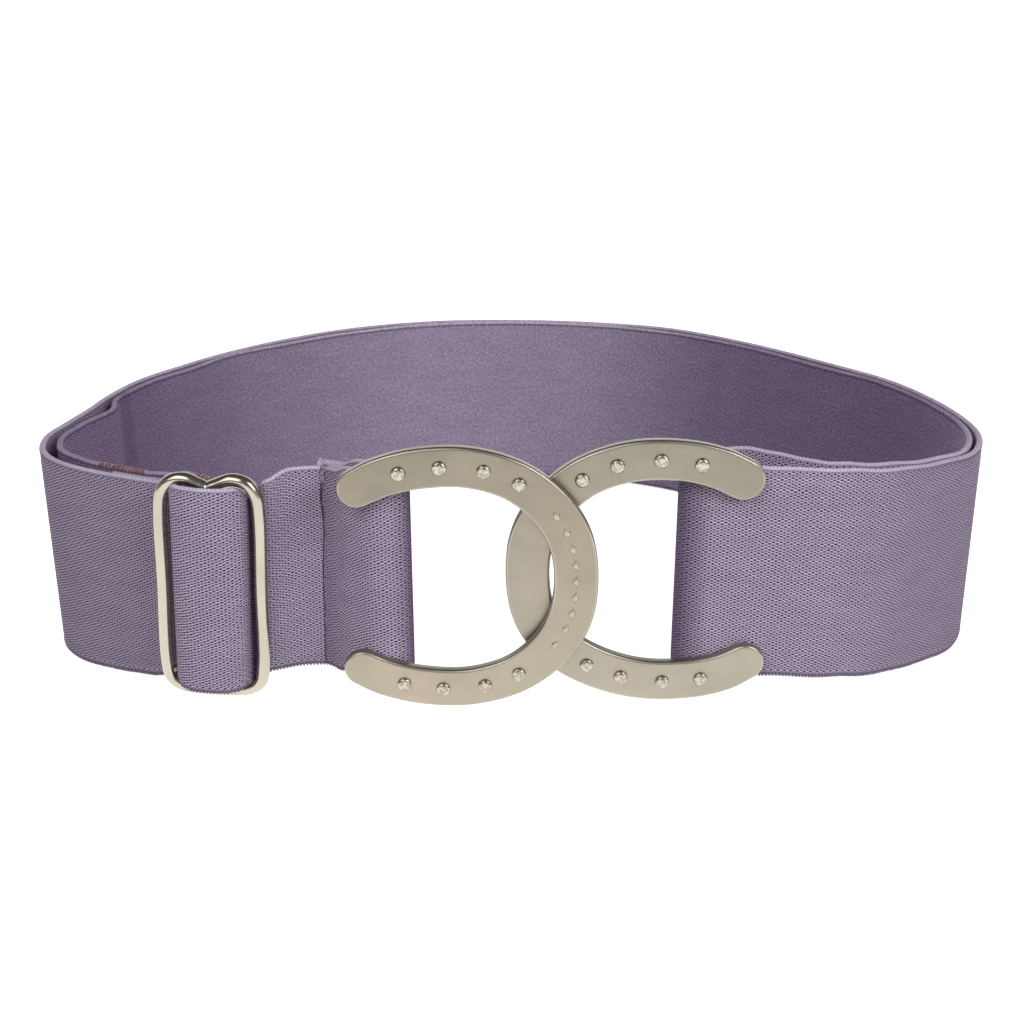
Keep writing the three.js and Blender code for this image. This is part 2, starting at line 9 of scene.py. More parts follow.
import bmesh
import bpy
import numpy as np
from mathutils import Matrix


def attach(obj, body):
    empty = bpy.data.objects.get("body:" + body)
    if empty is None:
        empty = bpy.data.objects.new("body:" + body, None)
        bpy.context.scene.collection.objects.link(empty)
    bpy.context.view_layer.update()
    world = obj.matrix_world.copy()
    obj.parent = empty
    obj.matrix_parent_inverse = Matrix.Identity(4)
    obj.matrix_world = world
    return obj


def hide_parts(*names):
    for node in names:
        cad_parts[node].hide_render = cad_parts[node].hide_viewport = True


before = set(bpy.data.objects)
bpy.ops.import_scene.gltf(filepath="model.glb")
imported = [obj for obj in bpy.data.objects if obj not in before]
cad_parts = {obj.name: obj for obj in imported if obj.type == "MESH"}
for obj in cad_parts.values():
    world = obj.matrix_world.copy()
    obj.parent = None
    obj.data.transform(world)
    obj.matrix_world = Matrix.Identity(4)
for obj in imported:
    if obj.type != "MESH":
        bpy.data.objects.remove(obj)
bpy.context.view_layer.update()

MM = 0.001
TAU = 2 * math.pi

# The strap. Its course comes from the CAD strap, ring by ring. Places along it are counted
# from the hem's fold.
STRAP_WIDTH = 50.0
STRAP_THICK = 1.5
HEM_FOOT = (-37.55, -63.2, 4.1)
HEM_HEAD = (-36.55, -63.2, 51.9)
HEM_LENGTH = 12.1
COURSE_CUTS = 3
BEAD_RADIUS = STRAP_THICK / 2
BEAD_TURNS = (0, 22.5, 45, 67.5)
NECK_HALF = 0.62
NECK_UP = 1.1
BODY_HALF = 0.69
BODY_FROM = 3.0
BODY_ROWS = 12

# The weave: holes along a row, and one step of the diagonal lines up the strap.
HOLE_PITCH = 1.52
ROW_PITCH = 0.675
PAIR_SHARE = 0.3
NARROW_SHARE = 0.2
PLACE_MAP = "along_and_up"
LOOK_AND_SHADING_NAME = "weave_look_and_painted_shading"

# Heights up the strap between which a part of the weave fades in or out.
WEAVE_FROM = (1.2, 1.7)
WEAVE_TO = (49.3, 49.0)
SLOTS_FROM = (48.7, 48.9)
SLOTS_TO = (49.55, 49.4)
RIM_FROM = (49.45, 49.65)
NOTCHES_TO = (1.35, 1.0)

# Where holes, knots, gaps and ribs begin and are whole, in the waves that draw them.
HOLE_DEPTHS = (0.25, 0.95)
KNOT_DEPTHS = (-0.05, -0.8)
GAP_WAVE = (-0.4, 0.6)
RIB_WAVE = (-0.8, 0.6)

# How unevenly the weave runs. A row's noise is multiplied by "by", and "least" is added.
SWAY = {"scale": 0.3, "by": 0.8}
LIFT = {"scale": 0.2, "by": 0.4, "stretch": (0.4, 1.6, 1)}
CLOUDS = {"scale": 0.09, "detail": 3.0, "stretch": (1, 2.2, 1), "by": 0.24, "least": 0.88}
STREAKS = {"scale": 0.8, "detail": 2.0, "stretch": (0.12, 1, 1), "by": 0.2, "least": 0.9}
FUZZ = {"scale": 3.2, "detail": 2.0, "stretch": (1, 1, 1), "by": 0.8, "least": 0.6}
BLOTCHES = {"scale": 1.3, "by": 1.3}
PATCHES = {"scale": 0.8, "by": 0.5, "least": 0.75}

# The range of "open" over which the fabric closes: slots show more, and blotches appear.
# SLOT_DARK is (least, added when closed). SHADE_TONES is the range of the painted shading over
# which the fabric takes a painted purple tint of shade.
CLOSING = (0.8, 0.5)
SLOT_DARK = (0.4, 0.35)
NOTCH_DARK = 0.9
SHADE_TONES = (1.0, 0.5)

# The knobs that the weft makes along the lower edge. Profile: (radius, height) rows.
TOOTH_DEPTH = 0.3
TOOTH_PITCH = HOLE_PITCH / 2
KNOB_UP = 0.58
KNOB_PROFILE = [(0.16, -0.5), (0.3, -0.3), (0.33, 0.1), (0.2, 0.45)]
KNOB_STRETCH = (1.0, 2.4, 1.15)
KNOB_LEAN = 0.25

# How the weave looks along the strap, and the light and shade painted on it. open: how wide
# its holes stand; twill: how far one diagonal outdoes the other; tone: painted light and
# shade, lighter above 1 where the front faces the lamps, darker below in the folds round the
# bars, beside the seam, behind the slider's right side and on the loop's inner walls.
WEAVE_AND_SHADING_ALONG = [
    {"at": 16, "open": 0.85, "twill": 0.4, "painted_shading": 1.2},
    {"at": 19, "open": 0.7, "twill": 0.4, "painted_shading": 0.4},
    {"at": 20.3, "open": 0.7, "twill": 0.4, "painted_shading": 0.42},
    {"at": 21.2, "open": 0.8, "twill": 0.4, "painted_shading": 0.64},
    {"at": 22.4, "open": 0.9, "twill": 0.4, "painted_shading": 0.95},
    {"at": 24.5, "open": 1, "twill": 0.4, "painted_shading": 1.3},
    {"at": 34, "open": 1, "twill": 0.4, "painted_shading": 1.3},
    {"at": 39, "open": 0.9, "twill": 0.3, "painted_shading": 1.1},
    {"at": 43.3, "open": 0.8, "twill": 0.2, "painted_shading": 0.84},
    {"at": 43.9, "open": 1.1, "twill": -0.1, "painted_shading": 1.32},
    {"at": 56, "open": 1.1, "twill": 0.1, "painted_shading": 1.3},
    {"at": 58.2, "open": 0.8, "twill": 0.1, "painted_shading": 0.6},
    {"at": 62, "open": 0.8, "twill": 0.1, "painted_shading": 0.5},
    {"at": 63.4, "open": 0.9, "twill": 0.1, "painted_shading": 0.95},
    {"at": 65, "open": 1, "twill": 0.3, "painted_shading": 1.3},
    {"at": 78, "open": 1, "twill": 0.5, "painted_shading": 1.3},
    {"at": 94, "open": 0.85, "twill": 0.5, "painted_shading": 1.1},
    {"at": 124, "open": 0.75, "twill": 0.6, "painted_shading": 1.05},
    {"at": 164, "open": 0.6, "twill": 0.6, "painted_shading": 1},
    {"at": 464, "open": 0.5, "twill": -0.5, "painted_shading": 1.03},
    {"at": 494, "open": 0.6, "twill": -0.5, "painted_shading": 1.03},
    {"at": 514, "open": 0.8, "twill": -0.3, "painted_shading": 1.15},
    {"at": 534, "open": 1.15, "twill": -0.1, "painted_shading": 1.36},
    {"at": 561.5, "open": 1.25, "twill": -0.05, "painted_shading": 1.36},
    {"at": 563.5, "open": 1.1, "twill": 0, "painted_shading": 1.05},
    {"at": 565.2, "open": 1, "twill": 0, "painted_shading": 0.82},
    {"at": 567, "open": 0.9, "twill": 0, "painted_shading": 0.64},
    {"at": 570, "open": 0.8, "twill": 0, "painted_shading": 0.5},
    {"at": 574, "open": 0.8, "twill": 0, "painted_shading": 0.6},
    {"at": 584, "open": 1.15, "twill": 0, "painted_shading": 1.15},
    {"at": 640, "open": 1.15, "twill": 0, "painted_shading": 1.1},
    {"at": 672, "open": 0.45, "twill": 0.4, "painted_shading": 0.66},
    {"at": 694, "open": 0.45, "twill": 0.4, "painted_shading": 0.57},
    {"at": 759, "open": 0.4, "twill": 0.3, "painted_shading": 0.7},
    {"at": 804, "open": 0.35, "twill": 0, "painted_shading": 1.05},
    {"at": 854, "open": 0.35, "twill": 0, "painted_shading": 1.12},
    {"at": 909, "open": 0.4, "twill": -0.2, "painted_shading": 0.86},
    {"at": 949, "open": 0.45, "twill": -0.4, "painted_shading": 0.62},
    {"at": 954, "open": 0.45, "twill": -0.4, "painted_shading": 0.62},
    {"at": 957, "open": 0.45, "twill": -0.4, "painted_shading": 0.48},
    {"at": 960, "open": 0.45, "twill": -0.4, "painted_shading": 0.48},
    {"at": 963, "open": 0.5, "twill": -0.4, "painted_shading": 0.62},
    {"at": 989, "open": 0.5, "twill": -0.3, "painted_shading": 0.61},
    {"at": 1094, "open": 0.5, "twill": 0.3, "painted_shading": 0.9},
]

# The inner layer's upper edge stands a little higher before it goes round the slider's bar.
# Rows of (along, rise).
HEAD_RISE = [(1029, 0.0), (1036, 0.8), (1042, 1.7), (1047.0, 2.2), (1048.0, 0.4), (1049.2, 0.0)]

# The lower edge hangs a little lower where the strap runs in behind the slider's right side.
# Rows of (along, drop).
FOOT_DROP = [
    (56.2, 0.0),
    (58.2, 0.9),
    (59.4, 1.3),
    (61.2, 1.5),
    (62.8, 1.6),
    (63.5, 1.2),
    (64.2, 0.5),
    (65.0, 0.0),
]

# Threads: how many steps between two of their places, and how many sides round them.
THREAD_CUTS = 6
WHIP_CUTS = 4
FINE_SIDES = 6
ROUND_SIDES = 8

# The seam beside the slider, where the turned hem is sewn in. The course has rows of
# (up, along), the thread has rows of (up, radius).
SEAM_COURSE = [
    (0, 43.85),
    (8.7, 43.79),
    (13.7, 43.7),
    (18.7, 43.81),
    (26.3, 43.65),
    (31.3, 43.43),
    (34.5, 43.1),
    (37.5, 43.27),
    (39.8, 43.43),
    (42.1, 43.72),
    (44.4, 43.65),
    (46.2, 43.46),
    (50, 43.55),
]
SEAM_THREAD = [(0, 0.14), (34, 0.16), (42, 0.3), (50, 0.26)]
SEAM_END = 0.8
SEAM_POINTS = 150
SEAM_SWAY = 0.05
SEAM_RATES = {"side": 3.7, "along": 5.1}

# The small swellings beside it, and half their size each way. Stitches waver: a row such
# as PUCKER_ASIDE is (mean, swing, rate, phase) of a measure that changes from one to the next.
PUCKER_FROM = 3.5
PUCKER_PITCH = 1.65
PUCKER_HALF = (0.2, 0.26, 0.95)
PUCKER_ASIDE = (0.4, 0.1, 2.1)
PUCKER_SIZE = (0.8, 0.25, 1.7, 0.5)
PUCKER_LEAN = (0.0, 0.12, 2.9)

# The thread at the seam's top, wound over the edge. The start has rows of (along, rise,
# side), the way over the edge has rows of (up, side).
THREADS_AT = 43.05
WRAP_WIDTH = 0.8
WRAP_TURNS = 4
WRAP_THREAD = 0.13
WRAP_LOW = (45.8, 0.7, 2.3)
WRAP_START = [(0.0, 0.0, -0.8), (0.1, 2.4, -0.95)]
WRAP_OVER = [(49.0, -0.98), (49.9, -0.72), (50.25, 0.0), (49.9, 0.72), (48.6, 0.98)]

# Threads that run off from there, as (along, up, side) rows, and cut ends that stand up. An
# end has a (lean, rise) row, and bends at these shares of its lean and rise.
LOOSE_THREADS = [
    [(42.9, 50.2, 0.3), (40.6, 50.7, 0.5), (38.2, 50.5, 0.6), (35.2, 50.8, 0.5), (33.0, 51.0, 0.6)],
    [(43.0, 50.1, 0.1), (41.6, 51.1, 0.3), (39.6, 51.6, 0.5), (36.6, 51.5, 0.7)],
]
LOOSE_THREAD = 0.09
THREAD_END_TIPS = [
    (-1.1, 1.9),
    (-0.3, 1.6),
    (0.3, 1.3),
    (0.8, 2.0),
    (1.1, 1.6),
    (1.4, 1.9),
    (1.6, 1.2),
]
THREAD_END = 0.16
END_LOW = 49.5
END_EDGE = 50.1
END_BEND = (0.3, 0.4)

# Fine hairs that stand off the inner layer near its right end: (along, up, side) rows.
STRAY_FIBRES = [
    [(678.2, 44.7, -0.7), (676.6, 43.9, -1.3), (675.0, 43.1, -0.8)],
    [(670.6, 40.9, -0.7), (670.0, 42.3, -1.4), (669.6, 43.6, -1.0)],
    [(683.5, 41.5, -0.7), (682.8, 42.6, -1.2), (681.3, 43.0, -0.9)],
]
FIBRE_RADIUS = 0.06

# Whip stitches over the inner layer's upper edge, left of the slider and behind its dip.
WHIP_STITCHES = [{"from": 1016.4, "to": 1028.4}, {"from": 1042.8, "to": 1047.0}]
WHIP_PITCH = 0.4
WHIP_SLANT = 0.3
WHIP_SHOULDER = 49.8
WHIP_TOP = 50.08
WHIP_DROP = (49.6, 0.2, 1.9)
WHIP_BULGE = (0.0, 0.06, 3.1)
WHIP_SIDES = (0.76, 0.7)
WHIP_THREAD = 0.13
WHIP_PALE = 0.6

# The horseshoes, as in the CAD apart from thinner lugs. The middle line of a branch has rows
# of (along, off, width). along: from the toe's outer edge; off: from the middle. A plate's
# face has rings at shares of its width, and its rounded edge has rings at turns in degrees.
PLATE_THICK = 2.5
PLATE_BEVEL = 0.7
PLATE_CROWN = 0.05
PLATE_MIDDLE = 30.3
FACE_SHARES = (0.0, 0.35, 0.7, 0.9, 1.0)
BEVEL_TURNS = (15, 30, 45, 60, 75, 90)
SHOE_HALF = [
    (4.75, 0.0, 9.5),
    (6.0, 9.0, 9.6),
    (10.0, 16.1, 9.4),
    (17.4, 22.4, 9.0),
    (27.6, 25.6, 8.9),
    (38.6, 25.3, 8.9),
    (46.5, 23.2, 8.7),
    (51.0, 21.0, 8.4),
]
FULL_HALF = SHOE_HALF[:-2] + [(46.5, 23.05, 9.1), (51.0, 20.65, 9.1)]
OPEN_HALF = [
    (4.75, 0.0, 9.5),
    (6.0, 9.0, 9.6),
    (10.2, 16.1, 9.6),
    (17.4, 21.6, 9.6),
    (27.6, 25.45, 9.5),
    (38.8, 26.15, 9.4),
    (47.0, 24.7, 9.1),
    (51.9, 22.35, 8.6),
]
STRAIGHT = {"turn": 0.0, "raise": 0.0, "about": 0.0}
ASKEW = {"turn": math.radians(2.3), "raise": 0.25, "about": 24.25}
LEFT_SHOE = {
    "toe": 17.65,
    "reach": -1,
    "front": -75.1,
    "bar": -25.75,
    "upper": SHOE_HALF,
    "lower": SHOE_HALF,
    "stance": STRAIGHT,
}
RIGHT_SHOE = {
    "toe": -2.25,
    "reach": 1,
    "front": -72.3,
    "bar": 38.05,
    "upper": FULL_HALF,
    "lower": OPEN_HALF,
    "stance": ASKEW,
}
SHOE_CUTS = 8
TIP_CUTS = 14
NAIL_ALONG = [17.0, 24.4, 33.6, 42.1]
NAIL_SIDES = 24
NAIL_PROFILE = [
    (1.56, -0.1),
    (1.55, 0.3),
    (1.48, 0.52),
    (1.34, 0.68),
    (1.1, 0.79),
    (0.75, 0.85),
    (0.35, 0.88),
]
LOZENGE_OFFS = np.linspace(-15, 15, 9)
LOZENGE_RINGS = [(1.0, 0.1), (1.0, -0.05), (0.72, -0.3), (0.5, -0.35)]
LOZENGE_LONG = 1.3
LOZENGE_SHORT = 0.8
BAR_RADIUS = 1.5
LAYER_GAP = 0.3
WRAP_RADIUS = BAR_RADIUS + LAYER_GAP + STRAP_THICK / 2
LUG_INNER = 25.25
LUG_THICK = 1.3
LUG_WIDE = 4.0
LUG_BEVEL = 0.4
RIGHT_SLACK = 0.1
SUNK = 0.2
HOOK_OFFS = [-9.5, 9.5]
HOOK_HALF = 1.5
HOOK_STEM = (10.95, 13.75)
HOOK_TIP = 4.75
HOOK_GAP = 0.3
HOOK_THICK = 1.6
HOOK_BEVEL = 0.3

# The slider, in its own upright plane.
WIRE_RADIUS = 1.5
SLIDER_PLACE = (-66.3, -69.6, 26.85)
SLIDER_YAW = math.radians(5)
SLIDER_ROLL = math.radians(2.2)
SLIDER_OUTLINE = [
    (0.0, 22.9),
    (1.5, 23.5),
    (5.4, 25.0),
    (8.7, 24.2),
    (10.4, 21.6),
    (10.95, 17.5),
    (10.95, 0.0),
    (10.95, -19.0),
    (10.0, -23.0),
    (7.0, -24.75),
    (3.0, -25.1),
    (-3.0, -25.1),
    (-7.0, -24.9),
    (-9.8, -23.0),
    (-10.7, -19.0),
    (-10.6, 0.0),
    (-10.5, 17.5),
    (-9.9, 21.3),
    (-8.1, 23.8),
    (-4.9, 24.6),
    (-1.5, 23.4),
]
SLIDER_TOP = 22.9
SLIDER_BOTTOM = -25.1
SLIDER_CUTS = 8
WIRE_SIDES = 24
BAR_SIDES = 20
BAR_POINTS = 40
SOLDER = {"swell": 0.35, "fade": 0.9}

# The room, in metres. How bright it is from below to above, and the wall behind the belt.
ROOM_LOW = (0.19, 0.19, 0.19, 1)
ROOM_HIGH = (0.12, 0.12, 0.122, 1)
ROOM_HIGH_AT = 0.95
ROOM_SHINE = [(0.01, 0.26), (0.35, 0.19), (0.7, 0.09)]
BACKDROP_SHINE = 0.9
BACKDROP_NEAR = (0.3, 0.65)
BACKDROP_TOP = (0.65, 0.45)
TABLE_SIZE = 14.0
TABLE_TOP = -0.0002
TABLE_CUTS = 8
LIGHT_AIM = (0, -0.02, 0.02)
LIGHTS = [
    {"name": "key_left", "place": (-0.62, -1.1, 1.05), "size": (1.1, 1.1), "watts": 8.5},
    {"name": "key_right", "place": (1.1, -1.0, 0.95), "size": (0.9, 1.0), "watts": 10.5},
]

# The camera, where the photograph was taken from.
CAMERA_PLACE = (-0.85, -348.33, 155.4)
CAMERA_DOWN = 21.75
CAMERA_LENS = 49.486
CAMERA_SENSOR = 36
CAMERA_CLIP = 0.01


def rgb(red, green, blue):
    """A shader's colour, from the 0 to 255 that a screen shows."""
    shares = [value / 255 for value in (red, green, blue)]
    return (*[((c + 0.055) / 1.055) ** 2.4 if c > 0.04045 else c / 12.92 for c in shares], 1.0)


# Curves and meshes


def smoothed(rows, cuts, closed=False):
    """A smooth line through rows of numbers, each span cut into equal steps."""
    rows = np.asarray(rows, float)
    if closed:
        padded = np.vstack([rows[-1], rows, rows[:2]])
    else:
        padded = np.vstack([2 * rows[0] - rows[1], rows, 2 * rows[-1] - rows[-2]])
    steps = np.diff(padded, axis=0)
    knots = np.sqrt(np.linalg.norm(steps, axis=1))[:, None]
    slopes = steps / knots
    tangents = slopes[:-1] + slopes[1:] - (padded[2:] - padded[:-2]) / (knots[:-1] + knots[1:])
    line = []
    for i in range(len(tangents) - 1):
        a, b = padded[i + 1], padded[i + 2]
        leave, arrive = tangents[i] * knots[i + 1], tangents[i + 1] * knots[i + 1]
        for t in np.arange(cuts) / cuts:
            line.append(
                (2 * t**3 - 3 * t**2 + 1) * a
                + (t**3 - 2 * t**2 + t) * leave
                + (3 * t**2 - 2 * t**3) * b
                + (t**3 - t**2) * arrive
            )
    if not closed:
        line.append(rows[-1])
    return np.array(line)


def directions(line, closed=False):
    """The way that a line runs at each of its points."""
    if closed:
        ways = np.roll(line, -1, axis=0) - np.roll(line, 1, axis=0)
    else:
        ways = np.gradient(line, axis=0)
    return ways / np.linalg.norm(ways, axis=1)[:, None]


def skin(rings, closed=False, slot=0):
    """Faces between rings of equal length. An open run of rings gets a face at each end."""
    rings = np.asarray(rings, float)
    many, around = rings.shape[:2]
    faces = []
    for i in range(many if closed else many - 1):
        here, there = i * around, (i + 1) % many * around
        for j in range(around):
            k = (j + 1) % around
            faces.append((here + j, here + k, there + k, there + j))
    if not closed:
        faces.append(tuple(range(around))[::-1])
        faces.append(tuple(range((many - 1) * around, many * around)))
    return {"points": rings.reshape(-1, 3), "faces": faces, "slots": [slot] * len(faces)}


def tube(line, radius, sides, closed=False, slot=0):
    """A round tube along a line of points. The radius is one number or one a point."""
    line = np.asarray(line, float)
    ways = directions(line, closed)
    radii = np.broadcast_to(radius, len(line))
    aside = np.cross(ways[0], (0, 0, 1) if abs(ways[0][2]) < 0.9 else (1, 0, 0))
    angles = TAU * np.arange(sides) / sides
    rings = []
    for point, way, size in zip(line, ways, radii):
        aside = aside - way * np.dot(aside, way)
        aside = aside / np.linalg.norm(aside)
        circle = np.outer(np.cos(angles), aside) + np.outer(np.sin(angles), np.cross(way, aside))
        rings.append(point + size * circle)
    return skin(rings, closed, slot)


def turned(profile, sides, slot=0):
    """A round form from (radius, height) rows, standing on the XY plane."""
    angles = TAU * np.arange(sides) / sides
    rings = [[(r * math.cos(a), r * math.sin(a), h) for a in angles] for r, h in profile]
    return skin(rings, slot=slot)


def rounded_block(low, high, radius):
    """A box between two corners, with its edges rounded."""
    low, high = np.asarray(low, float), np.asarray(high, float)
    middle = (low + high) / 2
    bm = bmesh.new()
    bmesh.ops.create_cube(bm, size=1.0)
    for vert in bm.verts:
        vert.co = middle + (high - low) * np.array(vert.co)
    bmesh.ops.bevel(bm, geom=bm.edges[:], offset=radius, segments=3, profile=0.5, affect="EDGES")
    bm.verts.index_update()
    part = {
        "points": np.array([vert.co[:] for vert in bm.verts]),
        "faces": [tuple(vert.index for vert in face.verts) for face in bm.faces],
        "slots": [0] * len(bm.faces),
    }
    bm.free()
    return part


def stamped(part, places):
    """Copies of a small part, one for each (origin, three axes) place."""
    copies = [{**part, "points": origin + part["points"] @ axes} for origin, axes in places]
    return joined(copies)


def joined(parts):
    """Several parts as one."""
    points, faces, slots = [], [], []
    start = 0
    for part in parts:
        points.append(part["points"])
        faces += [tuple(start + i for i in face) for face in part["faces"]]
        slots += part["slots"]
        start += len(part["points"])
    return {"points": np.vstack(points), "faces": faces, "slots": slots}


def unsteady(i, mean, swing, rate, phase=0.0):
    """A measure that swings about its mean from one stitch to the next."""
    return mean + swing * math.sin(rate * i + phase)


def made(name, part, materials, replaced=None):
    """A Blender object from a part, riding on the belt's one body."""
    mesh = bpy.data.meshes.new(name)
    mesh.from_pydata((part["points"] * MM).tolist(), [], part["faces"])
    mesh.polygons.foreach_set("material_index", part["slots"])
    mesh.polygons.foreach_set("use_smooth", [True] * len(part["faces"]))
    for material in materials:
        mesh.materials.append(material)
    bm = bmesh.new()
    bm.from_mesh(mesh)
    bmesh.ops.remove_doubles(bm, verts=bm.verts, dist=1e-7)
    bmesh.ops.recalc_face_normals(bm, faces=bm.faces)
    bm.to_mesh(mesh)
    bm.free()
    piece = bpy.data.objects.new(name, mesh)
    bpy.context.scene.collection.objects.link(piece)
    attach(piece, "root")
    if replaced:
        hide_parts(replaced)
    return piece


# Materials


class Nodes:
    """Short calls for adding to a node tree."""

    def __init__(self, tree):
        self.tree = tree

    def join(self, value, socket):
        if isinstance(value, bpy.types.NodeSocket):
            self.tree.links.new(value, socket)
        else:
            socket.default_value = value

    def node(self, kind, inputs=None, **settings):
        node = self.tree.nodes.new("ShaderNode" + kind)
        for key, value in settings.items():
            setattr(node, key, value)
        for key, value in (inputs or {}).items():
            self.join(value, node.inputs[key])
        return node

    def math(self, operation, *values):
        return self.node("Math", dict(enumerate(values)), operation=operation).outputs[0]

    def plus(self, a, b):
        return self.math("ADD", a, b)

    def times(self, a, b):
        return self.math("MULTIPLY", a, b)

    def wave(self, turns):
        """A cosine of so many turns."""
        return self.math("COSINE", self.times(turns, TAU))

    def between(self, value, low, high, smooth=True):
        """0 at low, 1 at high."""
        kind = "SMOOTHSTEP" if smooth else "LINEAR"
        inputs = {"Value": value, "From Min": low, "From Max": high}
        return self.node("MapRange", inputs, interpolation_type=kind).outputs["Result"]

    def noise(self, place, scale, detail=2.0, stretch=(1, 1, 1)):
        spread = self.node("Mapping", {"Vector": place, "Scale": stretch}).outputs["Vector"]
        inputs = {"Vector": spread, "Scale": scale, "Detail": detail}
        return self.node("TexNoise", inputs).outputs["Fac"]

    def swinging(self, place, scale, stretch=(1, 1, 1), detail=2.0):
        """A noise that swings about 0."""
        return self.plus(self.noise(place, scale, detail, stretch), -0.5)

    def varied(self, place, row):
        """A noise times the row's "by", plus its "least"."""
        fac = self.noise(place, row["scale"], row["detail"], row["stretch"])
        return self.plus(self.times(fac, row["by"]), row["least"])

    def mixed(self, share, a, b):
        node = self.node("Mix", data_type="RGBA", clamp_factor=True)
        self.join(share, node.inputs[0])
        self.join(a, node.inputs[6])
        self.join(b, node.inputs[7])
        return node.outputs[2]

    def shaded(self, colour, factor):
        """A colour times a number."""
        node = self.node("VectorMath", operation="SCALE")
        self.join(colour, node.inputs[0])
        self.join(factor, node.inputs["Scale"])
        return node.outputs[0]

    def tinted(self, colour, tint):
        """A colour times another."""
        return self.node("VectorMath", {0: colour, 1: tint}, operation="MULTIPLY").outputs[0]

    def parts(self, vector):
        node = self.node("SeparateXYZ", {"Vector": vector})
        return node.outputs["X"], node.outputs["Y"], node.outputs["Z"]

    def bump(self, height, distance, strength=1.0, under=None):
        inputs = {"Height": height, "Distance": distance, "Strength": strength}
        if under:
            inputs["Normal"] = under
        return self.node("Bump", inputs).outputs["Normal"]


class Shader(Nodes):
    """A material and its surface."""

    def __init__(self, name):
        self.material = bpy.data.materials.new(name)
        self.material.use_nodes = True
        super().__init__(self.material.node_tree)
        self.surface = self.tree.nodes["Principled BSDF"]

    def place(self):
        """Where a point lies on the object, in metres."""
        return self.node("TexCoord").outputs["Object"]

    def set(self, **values):
        """Values of the surface, with _ for a space."""
        for key, value in values.items():
            self.join(value, self.surface.inputs[key.replace("_", " ")])


ELASTIC_DARK = rgb(46, 20, 56)
ELASTIC_MID = rgb(172, 156, 183)
ELASTIC_LIGHT = rgb(226, 212, 236)
RIM_SHADES = (rgb(192, 178, 200), rgb(212, 198, 220))
# SHADE_TINT paints the bluer, purpler colour of fabric lying in shade.
SHADE_TINT = (1.0, 0.9, 1.08)
SHEEN_TINT = rgb(215, 195, 235)
DRAWN_SHADES = (rgb(136, 122, 152), rgb(184, 172, 198))

# The shades of each kind of yarn, and how fine its grain is, for each metre.
KNOB_YARN = {"shades": (rgb(146, 128, 160), rgb(198, 182, 210)), "scale": 900.0}
# The seam yarn is dark to paint the shade in the seam's crease as well as the thread.
SEAM_YARN_AND_SHADE = {"shades": (rgb(60, 44, 70), rgb(96, 78, 108)), "scale": 900.0}
WRAP_YARN = {"shades": (rgb(112, 94, 138), rgb(206, 194, 218)), "scale": 1500.0}
END_YARN = {"shades": (rgb(182, 168, 196), rgb(232, 226, 238)), "scale": 900.0}
FIBRE_YARN = {"shades": (rgb(150, 138, 156), rgb(200, 190, 204)), "scale": 900.0}
WHIP_YARN = {"shades": (rgb(122, 82, 90), rgb(186, 142, 146)), "scale": 2200.0}
PALE_WHIP_YARN = {"shades": (rgb(150, 120, 128), rgb(214, 200, 204)), "scale": 2200.0}

# The metals. rough: from its smoothest to its roughest; grain: how strong the fine bumps
# are; shine: painted light, how pale the colour is painted low down and high up.
LEFT_NICKEL = {
    "shades": (rgb(160, 149, 133), rgb(149, 143, 127)),
    "rough": (0.3, 0.42),
    "grain": 0.5,
    "shine": (1.19, 0.85),
}
RIGHT_NICKEL = {
    "shades": (rgb(157, 148, 135), rgb(147, 143, 128)),
    "rough": (0.3, 0.42),
    "grain": 0.5,
    "shine": (1.17, 0.9),
}
EDGE_NICKEL = {
    "shades": (rgb(176, 171, 157), rgb(166, 161, 149)),
    "rough": (0.28, 0.36),
    "grain": 0.2,
    "shine": None,
}
WIRE_NICKEL = {
    "shades": (rgb(190, 184, 168), rgb(180, 174, 158)),
    "rough": (0.14, 0.22),
    "grain": 0.15,
    "shine": None,
}
PAINTED_LIGHT_HEIGHTS = (8 * MM, 52 * MM)
METAL_NOISE = {"cloud": 55.0, "smear": 140.0, "ripple": 210.0, "grain": 2600.0}
NAIL_SHADES = (rgb(160, 153, 138), rgb(192, 186, 172))
NAIL_NOISE = {"glint": 1300.0, "dents": 1600.0}

TABLE_SHADES = ((0.93, 0.93, 0.93, 1), (0.96, 0.96, 0.96, 1))
TABLE_GLOW = 0.93


def weave_lattice(s, columns, rows, twill):
    """How deep the weave lies: holes above 0, raised knots below."""
    rising = s.wave(s.plus(columns, rows))
    falling = s.wave(s.math("SUBTRACT", columns, rows))
    pairs = s.times(s.wave(columns), s.wave(s.plus(s.times(rows, 0.5), 0.125)))
    lattice = s.plus(
        s.times(rising, s.plus(s.times(twill, 0.5), 0.5)),
        s.times(falling, s.plus(s.times(twill, -0.5), 0.5)),
    )
    lattice = s.plus(lattice, s.times(pairs, PAIR_SHARE))
    return s.plus(lattice, s.times(s.wave(s.times(columns, 2.0)), NARROW_SHARE))


def edge_gaps(s, columns, rows, up, closed):
    """The dark slots below the upper rim and the notches of the lower edge."""
    doubled = s.times(columns, 2.0)
    slot_rows = s.times(s.between(up, *SLOTS_FROM), s.between(up, *SLOTS_TO))
    slots = s.times(s.between(s.wave(doubled), *GAP_WAVE), slot_rows)
    least, more = SLOT_DARK
    slots = s.times(slots, s.plus(s.times(closed, more), least))
    notches = s.between(s.wave(s.plus(doubled, rows)), *GAP_WAVE)
    notches = s.times(notches, s.between(up, *NOTCHES_TO))
    return s.math("MAXIMUM", slots, s.times(notches, NOTCH_DARK))


def fabric_shine(s, place, painted_shading, closed):
    """Clouds, streaks, fuzz and blotches over the fabric, times the painted light and shade."""
    blotches = s.times(s.swinging(place, BLOTCHES["scale"], detail=3.0), closed)
    fuzz = s.plus(s.times(blotches, BLOTCHES["by"]), s.varied(place, FUZZ))
    shine = s.times(s.varied(place, CLOUDS), s.varied(place, STREAKS))
    return s.times(s.times(shine, fuzz), painted_shading)


